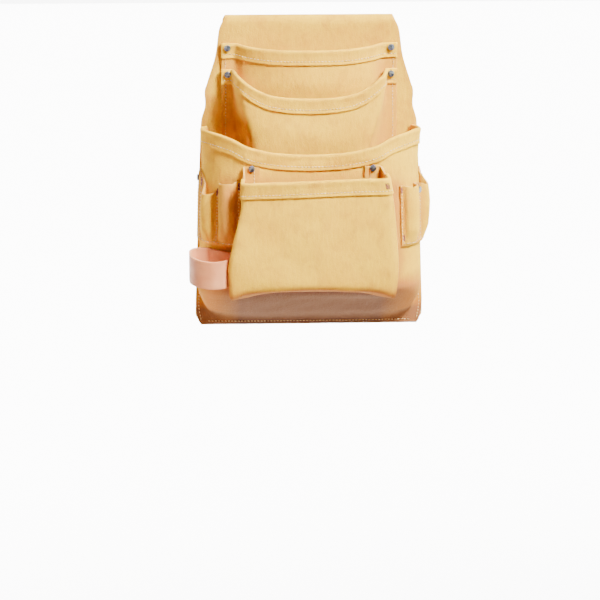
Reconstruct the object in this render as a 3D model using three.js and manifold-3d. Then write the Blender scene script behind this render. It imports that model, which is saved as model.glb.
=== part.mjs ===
// Carpenter's nail apron: a tool bag of split suede that hangs on a belt.
// Millimetres. X runs to the right as seen from the front, -Y points to the front, Z is up.
// The origin is the middle of the belt tunnel behind the top of the back panel.

import * as THREE from 'three';
import { mergeVertices } from 'three/addons/utils/BufferGeometryUtils.js';
import Module from 'manifold-3d';

const wasm = await Module();
wasm.setup();

// Leather, seams and rivets
const leather = 2.2;
const strapLeather = 3;
const seat = 0.3;
const hemLip = 0.8;
const capRadius = 3.4;
const capHeight = 1.8;
const shankRadius = 1.5;
const burrRadius = 3;
const burrThickness = 0.9;
const rivetSides = 8;

// Back panel and the tunnel that its folded top makes for the belt
const tunnelHeight = 76;
const tunnelDepth = 10;
const tunnelTuck = 16;
const tunnelSeam = 16;
const panelHeight = 333;
const panelHalf = 122;
const foldSteps = 6;

// Upper and middle pockets, one sewn over the other
const upperInset = 4;
const upperFlange = 16;
const middleFlange = 12;
const upperTop = 12;
const upperHeight = 176;
const upperDepth = 22;
const upperDip = 5.2;
const upperHem = 14;
const middleTop = -15;
const middleHeight = 145;
const middleDepth = 40;
const middleDip = 25.5;
const middleHem = 14;

// Main pocket
const mainInset = 10.7;
const mainFlatShare = 0.59;
const mainTop = -72;
const mainBottom = -289;
const mainDepth = 70;
const mainDip = 21.5;
const mainHem = 15;
const mainFlange = 7.5;
const mainSpread = 1.07;

// Front pocket
const frontOverhang = 4.4;
const frontFlange = 16;
const frontFlare = 17;
const frontTop = -103.6;
const frontHeight = 134;
const frontDepth = 28;
const frontDip = 12;
const frontHem = 15.5;
const frontEar = 11;
const frontTuck = 5;
const frontTilt = 2.4;

// Tool pockets on the side walls
const leftPatchTop = -116;
const leftPatchHeight = 74;
const leftPatchFall = 21;
const leftWideLift = 12;
const leftNarrowLift = 8;
const rightPatchTop = -117;
const rightPatchHeight = 76;
const rightPatchFall = 17;
const rightWideLift = 9;
const rightNarrowLift = 7.6;

// Handle loop
const loopHeight = 29;
const loopDrop = 25.5;
const loopReach = 24;
const loopSwing = 46;
const loopRise = 0.16;

// Rivet places
const upperRivetInset = 6.5;
const upperRivetDrop = 5;
const middleRivetDrop = 5.5;
const tunnelRivetInset = 30;
const frontRivetInset = 7.5;
const frontRivetDrop = 4;
const loopRivetSpread = 14;
const leftRivetDrop = 9;
const rightRivetDrop = 11;
const seamRivetDrop = 20;

// Planes that the pieces are set from
const panelTop = tunnelHeight / 2 + leather;
const panelBottom = panelTop - panelHeight;
const panelMiddleY = (tunnelDepth + leather) / 2;
const panelFrontY = -tunnelDepth / 2 - leather;
const upperFlangeFrontY = panelFrontY - seat - leather;
const mainFaceY = panelFrontY - mainDepth;
const mainHalf = panelHalf - mainInset;
const frontFold = mainHalf * mainFlatShare + frontOverhang;
const frontCrease = frontFold + frontFlare;
const loopMiddle = leftPatchTop - leftPatchHeight - loopDrop;

// Panel outline: down is a share of the panel's height from its top,
// width a share of its widest half
const panelOutline = [
  { down: 0.0, width: 0.713 },
  { down: 0.022, width: 0.746 },
  { down: 0.04, width: 0.769 },
  { down: 0.121, width: 0.802 },
  { down: 0.217, width: 0.881 },
  { down: 0.244, width: 0.902 },
  { down: 0.277, width: 0.895 },
  { down: 0.337, width: 0.934 },
  { down: 0.481, width: 0.951 },
  { down: 0.871, width: 0.992 },
  { down: 0.964, width: 1.0 },
  { down: 1.0, width: 0.951 },
];

// Half sections of the pockets from the seam to the middle. across and depth are shares of the
// open pocket's half width and depth, flat is the share of its half width where the wall lies
// flat, dip the share of the mouth's dip, and hem the share of the folded hem's thickness
const upperSection = [
  { across: 0.95, flat: 0.94, depth: 0.18, dip: 0.1, hem: 1 },
  { across: 0.88, flat: 0.84, depth: 0.4, dip: 0.3, hem: 1 },
  { across: 0.73, flat: 0.68, depth: 0.66, dip: 0.6, hem: 1 },
  { across: 0.5, flat: 0.48, depth: 0.86, dip: 0.9, hem: 1 },
  { across: 0.25, flat: 0.25, depth: 0.97, dip: 1, hem: 1 },
  { across: 0, flat: 0, depth: 1, dip: 1, hem: 1 },
];
const middleSection = [
  { across: 0.965, flat: 0.95, depth: 0.5, dip: 0, hem: 1 },
  { across: 0.935, flat: 0.88, depth: 0.86, dip: 0.05, hem: 1 },
  { across: 0.85, flat: 0.8, depth: 0.96, dip: 0.3, hem: 1 },
  { across: 0.7, flat: 0.66, depth: 0.99, dip: 0.63, hem: 1 },
  { across: 0.5, flat: 0.48, depth: 1, dip: 0.87, hem: 1 },
  { across: 0.25, flat: 0.25, depth: 1, dip: 0.97, hem: 1 },
  { across: 0, flat: 0, depth: 1, dip: 1, hem: 1 },
];
const mainSection = [
  { across: 0.975, flat: 0.9, depth: 0.12, dip: 0.13, hem: 1 },
  { across: 1.0, flat: 0.85, depth: 0.27, dip: 0.08, hem: 1 },
  { across: 1.0, flat: 0.8, depth: 0.46, dip: 0.04, hem: 1 },
  { across: 0.955, flat: 0.74, depth: 0.65, dip: 0, hem: 1 },
  { across: 0.865, flat: 0.66, depth: 0.82, dip: 0.06, hem: 1 },
  { across: 0.725, flat: 0.56, depth: 0.94, dip: 0.25, hem: 1 },
  { across: mainFlatShare, flat: 0.47, depth: 1, dip: 0.6, hem: 1 },
  { across: 0.27, flat: 0.24, depth: 1, dip: 0.94, hem: 1 },
  { across: 0, flat: 0, depth: 1, dip: 1, hem: 1 },
];

// The front pocket's side gussets run out to a crease and hang below it as ears
const frontGusset = [
  { reach: 0.5, flat: 0.97, depth: 0.45, dip: 0.5, ear: 0.5, hem: 0 },
  { reach: 1, flat: 0.92, depth: 0.88, dip: 1, ear: 1, hem: 1 },
];
const frontFace = [
  { across: 0.94, flat: 0.86, depth: 0.95, dip: 1, ear: 0.75, hem: 1 },
  { across: 0.76, flat: 0.7, depth: 0.97, dip: 0.97, ear: 0.3, hem: 1 },
  { across: 0.4, flat: 0.38, depth: 0.99, dip: 0.96, ear: 0.05, hem: 1 },
  { across: 0, flat: 0, depth: 1, dip: 0.96, ear: 0, hem: 1 },
];

// Levels from the mouth down. down is a share of the height, dip of the mouth's dip that is
// left, width and depth of the open section, and open is 1 where the pocket stands open
const upperLevels = [
  { down: 0.2, dip: 0.7, width: 1, depth: 0.95, open: 1 },
  { down: 0.36, dip: 0.3, width: 1, depth: 0.72, open: 0.8 },
  { down: 0.54, dip: 0, width: 1, depth: 0.38, open: 0.4 },
  { down: 0.72, dip: 0, width: 1, depth: 0.05, open: 0 },
  { down: 1, dip: 0, width: 1, depth: 0, open: 0 },
];
const middleLevels = [
  { down: 0.26, dip: 0.8, width: 0.95, depth: 1, open: 1 },
  { down: 0.42, dip: 0.4, width: 0.87, depth: 0.98, open: 1 },
  { down: 0.64, dip: 0, width: 0.78, depth: 0.9, open: 0.9 },
  { down: 0.84, dip: 0, width: 0.74, depth: 0.6, open: 0.6 },
  { down: 0.95, dip: 0, width: 1, depth: 0.12, open: 0 },
  { down: 1, dip: 0, width: 1, depth: 0, open: 0 },
];
const mainLevels = [
  { down: 0.762, dip: 0, depth: 1, open: 1 },
  { down: 0.785, dip: 0, depth: 0.95, open: 1 },
  { down: 0.835, dip: 0, depth: 0.75, open: 0.9 },
  { down: 0.91, dip: 0, depth: 0.41, open: 0.6 },
  { down: 0.995, dip: 0, depth: 0.02, open: 0 },
];
const frontLevels = [
  { down: 0.4, dip: 0, crease: 0.95, fold: 0.97, depth: 1, open: 1, ear: 0 },
  { down: 0.62, dip: 0, crease: 0.985, fold: 0.94, depth: 0.99, open: 1, ear: 0.1 },
  { down: 0.8, dip: 0, crease: 1, fold: 0.91, depth: 0.96, open: 1, ear: 0.5 },
  { down: 0.915, dip: 0, crease: 0.985, fold: 0.89, depth: 0.92, open: 1, ear: 0.9 },
  { down: 0.95, dip: 0, crease: 0.96, fold: 0.885, depth: 0.82, open: 1, ear: 1 },
  { down: 0.98, dip: 0, crease: 0.85, fold: 0.88, depth: 0.45, open: 0.5, ear: 0.5 },
  { down: 1, dip: 0, crease: 0.8, fold: 0.88, depth: 0.06, open: 0, ear: 0 },
];
const frontMouthCrease = 0.84;

// Side patches. skin is a place on the main wall, counted in the columns of its section from
// the panel's edge; lift is a share of the tube's lift, fall of the top edge's fall
const leftPatch = [
  { skin: 7.6, lift: 0, tube: 'wide', fall: 0.2 },
  { skin: 7.4, lift: 0, tube: 'wide', fall: 0.25 },
  { skin: 7.2, lift: 0.68, tube: 'wide', fall: 0.3 },
  { skin: 6.85, lift: 1, tube: 'wide', fall: 0.31 },
  { skin: 6.5, lift: 0.75, tube: 'wide', fall: 0.33 },
  { skin: 6.27, lift: 0, tube: 'wide', fall: 0.45 },
  { skin: 6, lift: 0, tube: 'narrow', fall: 0.85 },
  { skin: 5.8, lift: 0.7, tube: 'narrow', fall: 0.97 },
  { skin: 5.5, lift: 1, tube: 'narrow', fall: 1 },
  { skin: 5.2, lift: 0.7, tube: 'narrow', fall: 0.97 },
  { skin: 5, lift: 0, tube: 'narrow', fall: 0.6 },
  { skin: 4, lift: 0, tube: 'narrow', fall: 0.05 },
  { skin: 3.4, lift: 0, tube: 'narrow', fall: 0 },
];
const rightPatch = [
  { skin: 6.5, lift: 0, tube: 'wide', fall: 0.7 },
  { skin: 6.36, lift: 0, tube: 'wide', fall: 0.7 },
  { skin: 6.18, lift: 0.65, tube: 'wide', fall: 0.72 },
  { skin: 6, lift: 0.95, tube: 'wide', fall: 0.74 },
  { skin: 5.7, lift: 1, tube: 'wide', fall: 0.74 },
  { skin: 5.45, lift: 0.7, tube: 'wide', fall: 0.72 },
  { skin: 5.25, lift: 0, tube: 'wide', fall: 0.68 },
  { skin: 5, lift: 0, tube: 'wide', fall: 0.7 },
  { skin: 4.42, lift: 0, tube: 'narrow', fall: 0.8 },
  { skin: 4.26, lift: 0.8, tube: 'narrow', fall: 0.92 },
  { skin: 4, lift: 1, tube: 'narrow', fall: 0.95 },
  { skin: 3.76, lift: 0.8, tube: 'narrow', fall: 0.8 },
  { skin: 3.55, lift: 0, tube: 'narrow', fall: 0.2 },
  { skin: 3, lift: 0, tube: 'narrow', fall: 0.03 },
  { skin: 2.85, lift: 0, tube: 'narrow', fall: 0 },
];
const patchLevels = [
  { down: 0, lift: 1, fall: 1 },
  { down: 0.4, lift: 1, fall: 0.3 },
  { down: 0.75, lift: 0.85, fall: 0 },
  { down: 0.9, lift: 0.4, fall: 0 },
  { down: 1, lift: 0, fall: 0 },
];

// Handle loop route off the wall: out is a share of the swing to the side, from the strap's
// rivets, and ahead a share of the reach in front of the main pocket's face
const loopSlack = [
  { out: 0.67, ahead: -0.64 },
  { out: 0.93, ahead: -0.6 },
  { out: 1.05, ahead: -0.25 },
  { out: 1.04, ahead: 0.2 },
  { out: 0.92, ahead: 0.62 },
  { out: 0.7, ahead: 0.9 },
  { out: 0.53, ahead: 0.98 },
  { out: 0.37, ahead: 0.93 },
  { out: 0.24, ahead: 0.8 },
  { out: 0.14, ahead: 0.6 },
  { out: 0.12, ahead: 0.35 },
];
const loopWallRun = [7.6, 7, 6.5, 6];
const loopStackRun = [7.1, 7.6];
const loopRivetSkin = 7.44;

function mix(a, b, share) {
  return a + (b - a) * share;
}

// Reads a column of a table whose rows are sorted by another of its columns
function lookUp(table, by, at, column) {
  let upper = table.findIndex((row) => row[by] >= at);
  if (upper < 0) upper = table.length - 1;
  const lower = Math.max(upper - 1, 0);
  const span = table[upper][by] - table[lower][by];
  const share = span > 0 ? THREE.MathUtils.clamp((at - table[lower][by]) / span, 0, 1) : 0;
  return mix(table[lower][column], table[upper][column], share);
}

function panelHalfAt(z) {
  return panelHalf * lookUp(panelOutline, 'down', (panelTop - z) / panelHeight, 'width');
}

// The upper and middle pockets keep one straight edge, set in from the panel's
const upperEdge = panelHalfAt(upperTop) - upperInset;
const upperFold = upperEdge - upperFlange;
const middleFold = upperEdge - middleFlange;

// Puts a half section down as a whole one, left side first
function bothSides(half) {
  const left = half.map((column) => ({ ...column, side: -1 }));
  const right = half.slice(0, -1).map((column) => ({ ...column, side: 1 }));
  return [...left, ...right.reverse()];
}

// A unit step between two points
function heading(from, to) {
  return to.clone().sub(from).normalize();
}

// Closes a grid of points on a wall's middle surface into a wall of even thickness. Rows run
// down the wall and columns to the right; buildUp adds thickness outside at each point
function wallFromGrid(grid, thickness, buildUp) {
  const rows = grid.length;
  const columns = grid[0].length;
  const outer = [];
  const inner = [];
  const steepestMitre = 1.2;
  for (let j = 0; j < rows; j += 1) {
    for (let i = 0; i < columns; i += 1) {
      const here = grid[j][i];
      const before = i > 0 ? heading(grid[j][i - 1], here) : heading(here, grid[j][i + 1]);
      const after = i < columns - 1 ? heading(here, grid[j][i + 1]) : before;
      const above = j > 0 ? heading(grid[j - 1][i], here) : heading(here, grid[j + 1][i]);
      const below = j < rows - 1 ? heading(here, grid[j + 1][i]) : above;
      const across = before.clone().add(after).multiplyScalar(0.5);
      const down = above.clone().add(below).multiplyScalar(0.5);
      const mitre = Math.min(1 / (across.length() * down.length()), steepestMitre);
      const normal = down.clone().cross(across).normalize().multiplyScalar(mitre);
      const outside = thickness / 2 + buildUp(j, i);
      outer.push(here.clone().addScaledVector(normal, outside));
      inner.push(here.clone().addScaledVector(normal, -thickness / 2));
    }
  }
  const at = (j, i) => j * columns + i;
  const back = outer.length;
  const faces = [];
  const quad = (a, b, c, d) => faces.push(a, b, c, a, c, d);
  for (let j = 0; j < rows - 1; j += 1) {
    for (let i = 0; i < columns - 1; i += 1) {
      quad(at(j, i), at(j + 1, i), at(j + 1, i + 1), at(j, i + 1));
      quad(back + at(j, i), back + at(j, i + 1), back + at(j + 1, i + 1), back + at(j + 1, i));
    }
  }
  for (let i = 0; i < columns - 1; i += 1) {
    quad(at(0, i), at(0, i + 1), back + at(0, i + 1), back + at(0, i));
    const last = rows - 1;
    quad(at(last, i + 1), at(last, i), back + at(last, i), back + at(last, i + 1));
  }
  for (let j = 0; j < rows - 1; j += 1) {
    const last = columns - 1;
    quad(at(j + 1, 0), at(j, 0), back + at(j, 0), back + at(j + 1, 0));
    quad(at(j, last), at(j + 1, last), back + at(j + 1, last), back + at(j, last));
  }
  const geometry = new THREE.BufferGeometry();
  const points = [...outer, ...inner].flatMap((point) => point.toArray());
  geometry.setAttribute('position', new THREE.Float32BufferAttribute(points, 3));
  geometry.setIndex(faces);
  return geometry;
}

const noBuildUp = () => 0;

function solidFrom(geometry) {
  const bare = geometry.clone();
  bare.deleteAttribute('normal');
  bare.deleteAttribute('uv');
  const merged = mergeVertices(bare, 1e-4);
  const mesh = new wasm.Mesh({
    numProp: 3,
    vertProperties: new Float32Array(merged.attributes.position.array),
    triVerts: new Uint32Array(merged.index.array),
  });
  return new wasm.Manifold(mesh);
}

function geometryFrom(solid) {
  const mesh = solid.getMesh();
  const geometry = new THREE.BufferGeometry();
  geometry.setAttribute('position', new THREE.Float32BufferAttribute(mesh.vertProperties, 3));
  geometry.setIndex(new THREE.Uint32BufferAttribute(mesh.triVerts, 1));
  return geometry;
}

// Adds the hem's rows above a pocket's own levels: mouth, hem's lower edge, and just under it
function levelsWithHem(levels, hem, height, mouth) {
  const rows = [0, hem / height, (hem + hemLip) / height];
  return [...rows.map((down) => ({ ...mouth, down })), ...levels];
}

// The hem is the mouth's edge folded over once, so its rows are two leathers thick
function hemBuildUp(columns) {
  return (j, i) => (j < 2 ? leather * columns[i].hem : 0);
}

// Back panel: front leaf from its bottom edge up, over the belt, and down behind to the seam
function backPanel() {
  const foldCentre = panelTop - panelMiddleY - leather / 2;
  const stations = [];
  const leafRows = panelOutline.filter((row) => panelTop - row.down * panelHeight < foldCentre);
  for (const row of leafRows.reverse()) {
    const z = panelTop - row.down * panelHeight;
    stations.push({ y: -panelMiddleY, z, half: panelHalf * row.width });
  }
  for (let step = 0; step <= foldSteps; step += 1) {
    const angle = (Math.PI * step) / foldSteps;
    const z = foldCentre + panelMiddleY * Math.sin(angle);
    stations.push({ y: -panelMiddleY * Math.cos(angle), z, half: panelHalfAt(z) });
  }
  const tuckTop = -tunnelHeight / 2;
  const seamY = -tunnelDepth / 2 + seat + leather / 2;
  const tuck = [
    { along: 0, turn: 0 },
    { along: 0.3, turn: 0.16 },
    { along: 0.7, turn: 0.84 },
    { along: 1, turn: 1 },
  ];
  const flapHalf = panelHalfAt(panelTop);
  for (const { along, turn } of tuck) {
    const y = mix(panelMiddleY, seamY, turn);
    stations.push({ y, z: tuckTop - along * tunnelTuck, half: flapHalf });
  }
  stations.push({ y: seamY, z: tuckTop - tunnelTuck - tunnelSeam, half: flapHalf });
  const row = ({ y, z, half }) => [new THREE.Vector3(half, y, z), new THREE.Vector3(-half, y, z)];
  return wallFromGrid(stations.map(row), leather, noBuildUp);
}

// A pocket that is sewn to a flat panel by flanges at its sides
function sewnPocket({ section, levels, top, height, depth, dip, hem, half, carrierY, sides }) {
  const columns = bothSides(section);
  const mouth = { dip: 1, width: 1, depth: 1, open: 1 };
  const rows = levelsWithHem(levels, hem, height, mouth);
  const flangeY = carrierY - seat - leather / 2;
  const wallDepth = depth - seat - leather;
  const grid = rows.map((level) => {
    const flangeZ = top - height * level.down;
    const { edge, fold } = sides(flangeZ);
    const wall = columns.map((column) => {
      const z = flangeZ - dip * column.dip * level.dip;
      const openX = half * column.across * level.width;
      const x = mix(fold * column.flat, openX, level.open) * column.side;
      const y = flangeY - wallDepth * column.depth * level.depth;
      return new THREE.Vector3(x, y, z);
    });
    const flange = (x) => new THREE.Vector3(x, flangeY, flangeZ);
    return [flange(-edge), flange(-fold), ...wall, flange(fold), flange(edge)];
  });
  const bare = { hem: 0 };
  return wallFromGrid(grid, leather, hemBuildUp([bare, bare, ...columns, bare, bare]));
}

function upperPocket() {
  return sewnPocket({
    section: upperSection, levels: upperLevels, top: upperTop, height: upperHeight,
    depth: upperDepth, dip: upperDip, hem: upperHem, half: upperFold,
    carrierY: panelFrontY, sides: () => ({ edge: upperEdge, fold: upperFold }),
  });
}

function middlePocket() {
  return sewnPocket({
    section: middleSection, levels: middleLevels, top: middleTop, height: middleHeight,
    depth: middleDepth - seat - leather, dip: middleDip, hem: middleHem, half: middleFold,
    carrierY: upperFlangeFrontY, sides: () => ({ edge: upperEdge, fold: middleFold }),
  });
}

// Main pocket's half section at a height on its straight wall, middle surface, from the
// panel's edge: edge, fold, then the columns of its table
function mainOutlineAt(z) {
  const share = THREE.MathUtils.clamp((mainTop - z) / (mainTop - mainBottom), 0, 1);
  const half = mainHalf * mix(1, mainSpread, share);
  const wallDepth = mainDepth - seat - leather;
  const flangeDepth = seat + leather / 2;
  const wall = mainSection.map(({ across, depth }) => (
    new THREE.Vector2(half * across, flangeDepth + wallDepth * depth)
  ));
  const edge = new THREE.Vector2(panelHalfAt(z), flangeDepth);
  const fold = new THREE.Vector2(panelHalfAt(z) - mainFlange, flangeDepth);
  return [edge, fold, ...wall];
}

function mainPocket() {
  const height = mainTop - mainBottom;
  const columns = bothSides([{ hem: 0, dip: 0.19 }, { hem: 0, dip: 0.17 }, ...mainSection]);
  const count = mainSection.length + 2;
  const mouth = { dip: 1, depth: 1, open: 1 };
  const lip = { down: panelHeightShare(), dip: 0, depth: 0, open: 0 };
  const rows = [...levelsWithHem(mainLevels, mainHem, height, mouth), lip];
  const flangeDepth = seat + leather / 2;
  const grid = rows.map((level) => columns.map((column, i) => {
    const place = i < count ? i : columns.length - 1 - i;
    const z = mainTop - height * level.down - mainDip * column.dip * level.dip;
    const open = mainOutlineAt(z)[place];
    const fold = panelHalfAt(z) - mainFlange;
    const x = place > 1 ? mix(fold * column.flat, open.x, level.open) : open.x;
    const depth = flangeDepth + (open.y - flangeDepth) * level.depth;
    return new THREE.Vector3(column.side * x, panelFrontY - depth, z);
  }));
  return wallFromGrid(grid, leather, hemBuildUp(columns));
}

// The main pocket's lip reaches down to the panel's bottom edge
function panelHeightShare() {
  return (mainTop - panelBottom) / (mainTop - mainBottom);
}

// A point on the main pocket's side wall, a given distance outside its outer face. skin counts
// the section's columns from the panel's edge, side is -1 on the left
function onMainWall(skin, z, side, clear) {
  const outline = mainOutlineAt(z);
  const facet = (n) => {
    const step = outline[n + 1].clone().sub(outline[n]).normalize();
    return new THREE.Vector2(step.y, -step.x);
  };
  const lower = Math.floor(skin);
  const share = skin - lower;
  const plan = outline[lower].clone();
  let normal = facet(lower);
  if (share > 0) {
    plan.lerp(outline[lower + 1], share);
  } else {
    const both = facet(lower - 1).add(normal).multiplyScalar(0.5);
    normal = both.multiplyScalar(1 / both.lengthSq());
  }
  plan.addScaledVector(normal, leather / 2 + clear);
  const out = new THREE.Vector3(side * normal.x, -normal.y, 0).normalize();
  return { at: new THREE.Vector3(side * plan.x, panelFrontY - plan.y, z), out };
}

// Front pocket, sewn to the main pocket's face by flanges that turn inwards
function frontPocket() {
  const mouth = { dip: 1, crease: frontMouthCrease, fold: 1, depth: 1, open: 1, ear: 0 };
  const rows = levelsWithHem(frontLevels, frontHem, frontHeight, mouth);
  const flangeY = mainFaceY - seat - leather / 2;
  const wallDepth = frontDepth - seat - leather;
  const columns = bothSides([...frontGusset, ...frontFace]);
  const grid = rows.map((level) => {
    const flangeZ = frontTop - frontHeight * level.down;
    const fold = frontFold * level.fold;
    const crease = frontCrease * level.crease;
    const wall = columns.map((column) => {
      const share = column.across ?? 1;
      const openX = column.reach ? mix(fold, crease, column.reach) : crease * share;
      const x = mix(fold * column.flat, openX, level.open) * column.side;
      const sag = frontDip * column.dip * level.dip + frontEar * column.ear * level.ear;
      const tilt = frontTilt * level.dip * (x / frontCrease);
      const y = flangeY - wallDepth * column.depth * level.depth;
      return new THREE.Vector3(x, y, flangeZ - sag + tilt);
    });
    const tuck = frontTuck * (1 - level.open);
    const flange = (x) => new THREE.Vector3(x, flangeY, flangeZ + tuck);
    const end = fold - frontFlange;
    return [flange(-end), flange(-fold), ...wall, flange(fold), flange(end)];
  });
  const bare = { hem: 0 };
  return wallFromGrid(grid, leather, hemBuildUp([bare, bare, ...columns, bare, bare]));
}

// Tool pockets: a patch on a side wall, lifted off it into a wide and a narrow tube
function toolPockets({ table, side, top, height, drop, lifts }) {
  const columns = side < 0 ? [...table].reverse() : table;
  const grid = patchLevels.map((level) => columns.map((column) => {
    const z = top - drop * column.fall * level.fall - height * level.down;
    const lift = lifts[column.tube] * column.lift * level.lift;
    return onMainWall(column.skin, z, side, seat + leather / 2 + lift).at;
  }));
  return wallFromGrid(grid, leather, noBuildUp);
}

function leftToolPockets() {
  return toolPockets({
    table: leftPatch, side: -1, top: leftPatchTop, height: leftPatchHeight,
    drop: leftPatchFall, lifts: { wide: leftWideLift, narrow: leftNarrowLift },
  });
}

function rightToolPockets() {
  return toolPockets({
    table: rightPatch, side: 1, top: rightPatchTop, height: rightPatchHeight,
    drop: rightPatchFall, lifts: { wide: rightWideLift, narrow: rightNarrowLift },
  });
}

// Height of the loop's middle at a distance in front of the main pocket's face
function loopHeightAt(y) {
  return loopMiddle + loopRise * (y - (mainFaceY - loopReach));
}

// Handle loop: one strap from the side wall, round the open loop, and back over its own end
function handleLoop() {
  const first = seat + strapLeather / 2;
  const second = first + strapLeather + seat;
  const start = onMainWall(loopRivetSkin, loopMiddle, -1, first).at;
  const wallRun = loopWallRun.map((skin) => onMainWall(skin, loopMiddle, -1, first).at);
  const slack = loopSlack.map(({ out, ahead }) => (
    new THREE.Vector3(start.x - out * loopSwing, mainFaceY - ahead * loopReach, 0)
  ));
  const stackRun = loopStackRun.map((skin) => onMainWall(skin, loopMiddle, -1, second).at);
  const route = [...wallRun, ...slack, ...stackRun];
  const edge = (point, share) => (
    new THREE.Vector3(point.x, point.y, loopHeightAt(point.y) + share * loopHeight)
  );
  const grid = [route.map((point) => edge(point, 0.5)), route.map((point) => edge(point, -0.5))];
  return wallFromGrid(grid, strapLeather, noBuildUp);
}

// Rivets: where each one's cap sits, which way it faces, and the leathers it holds
const front = new THREE.Vector3(0, -1, 0);
const rivets = [];
for (const [side, name] of [[-1, 'left'], [1, 'right']]) {
  rivets.push({
    name: `upper_rivet_${name}`,
    at: new THREE.Vector3(
      side * (upperEdge - upperRivetInset), upperFlangeFrontY, upperTop - upperRivetDrop,
    ),
    out: front, layers: 2, holds: ['upper_pocket', 'back_panel'],
  });
  rivets.push({
    name: `middle_rivet_${name}`,
    at: new THREE.Vector3(
      side * (upperEdge - upperRivetInset), upperFlangeFrontY - seat - leather,
      middleTop - middleRivetDrop,
    ),
    out: front, layers: 3, holds: ['middle_pocket', 'upper_pocket', 'back_panel'],
  });
  rivets.push({
    name: `tunnel_rivet_${name}`,
    at: new THREE.Vector3(
      side * (upperEdge - tunnelRivetInset), panelFrontY,
      -tunnelHeight / 2 - tunnelTuck - tunnelSeam / 2,
    ),
    out: front, layers: 2, holds: ['back_panel'],
  });
  rivets.push({
    name: `front_rivet_${name}`,
    at: new THREE.Vector3(
      side * (frontFold - frontRivetInset), mainFaceY - seat - leather, frontTop - frontRivetDrop,
    ),
    out: front, layers: 2, holds: ['front_pocket', 'main_pocket'],
  });
}

const patchRivets = [
  { name: 'left_side_rivet', skin: 3.7, side: -1, z: leftPatchTop - leftRivetDrop },
  { name: 'right_side_rivet', skin: 3.18, side: 1, z: rightPatchTop - rightRivetDrop },
  { name: 'right_seam_rivet', skin: 4.76, side: 1, z: rightPatchTop - seamRivetDrop },
];
for (const { name, skin, side, z } of patchRivets) {
  const { at, out } = onMainWall(skin, z, side, seat + leather);
  const patch = side < 0 ? 'left_tool_pockets' : 'right_tool_pockets';
  rivets.push({ name, at, out, layers: 2, holds: [patch, 'main_pocket'] });
}

const loopStack = 2 * (seat + strapLeather);
const loopRivetY = onMainWall(loopRivetSkin, loopMiddle, -1, 0).at.y;
for (const [share, name] of [[0.5, 'upper'], [-0.5, 'lower']]) {
  const z = loopHeightAt(loopRivetY) + share * loopRivetSpread;
  const { at, out } = onMainWall(loopRivetSkin, z, -1, loopStack);
  rivets.push({
    name: `loop_rivet_${name}`, at, out,
    grip: loopStack + leather, holds: ['handle_loop', 'main_pocket'],
  });
}

function gripOf({ grip, layers }) {
  return grip ?? layers * leather + (layers - 1) * seat;
}

function turnTo(out) {
  return new THREE.Quaternion().setFromUnitVectors(new THREE.Vector3(0, 1, 0), out);
}

// Cap, shank and burr in one piece, turned about the shank
function rivetGeometry(grip) {
  const burrTop = -grip - seat;
  const profile = [
    [0, burrTop - burrThickness],
    [burrRadius, burrTop - burrThickness],
    [burrRadius, burrTop],
    [shankRadius, burrTop],
    [shankRadius, seat],
    [capRadius, seat],
    [capRadius * 0.9, seat + capHeight * 0.5],
    [capRadius * 0.5, seat + capHeight * 0.9],
    [0, seat + capHeight],
  ];
  return new THREE.LatheGeometry(profile.map(([x, y]) => new THREE.Vector2(x, y)), rivetSides);
}

// The hole that a rivet's shank passes through, longer than its grip at both ends
function rivetHole(rivet) {
  const grip = gripOf(rivet);
  const length = grip + 2 * leather;
  const radius = shankRadius + seat;
  const hole = new THREE.CylinderGeometry(radius, radius, length, rivetSides);
  hole.translate(0, -grip / 2, 0);
  hole.applyQuaternion(turnTo(rivet.out));
  hole.translate(...rivet.at.toArray());
  return solidFrom(hole);
}

function suede(color) {
  return new THREE.MeshStandardMaterial({ color, roughness: 0.95, metalness: 0 });
}

const group = new THREE.Group();

function addLeather(name, geometry, color) {
  let solid = solidFrom(geometry);
  for (const rivet of rivets.filter(({ holds }) => holds.includes(name))) {
    solid = solid.subtract(rivetHole(rivet));
  }
  const mesh = new THREE.Mesh(geometryFrom(solid), suede(color));
  mesh.name = name;
  group.add(mesh);
}

addLeather('back_panel', backPanel(), 0xe4b668);
addLeather('upper_pocket', upperPocket(), 0xefcb83);
addLeather('middle_pocket', middlePocket(), 0xefcb83);
addLeather('main_pocket', mainPocket(), 0xe9bf74);
addLeather('front_pocket', frontPocket(), 0xf0d08c);
addLeather('left_tool_pockets', leftToolPockets(), 0xe4b668);
addLeather('right_tool_pockets', rightToolPockets(), 0xe4b668);
addLeather('handle_loop', handleLoop(), 0xe3b899);

for (const rivet of rivets) {
  const steel = new THREE.MeshStandardMaterial({ color: 0x6d7078, roughness: 0.35, metalness: 1 });
  const mesh = new THREE.Mesh(rivetGeometry(gripOf(rivet)), steel);
  mesh.name = rivet.name;
  mesh.position.copy(rivet.at);
  mesh.quaternion.copy(turnTo(rivet.out));
  group.add(mesh);
}

export default group;
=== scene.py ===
"""Carpenter's nail apron in split suede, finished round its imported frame.

Lengths are millimetres until a mesh is written. X runs right, -Y is the front, Z is up.
"""
import math

import bpy
import numpy as np
from mathutils import Matrix, Vector, noise


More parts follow.
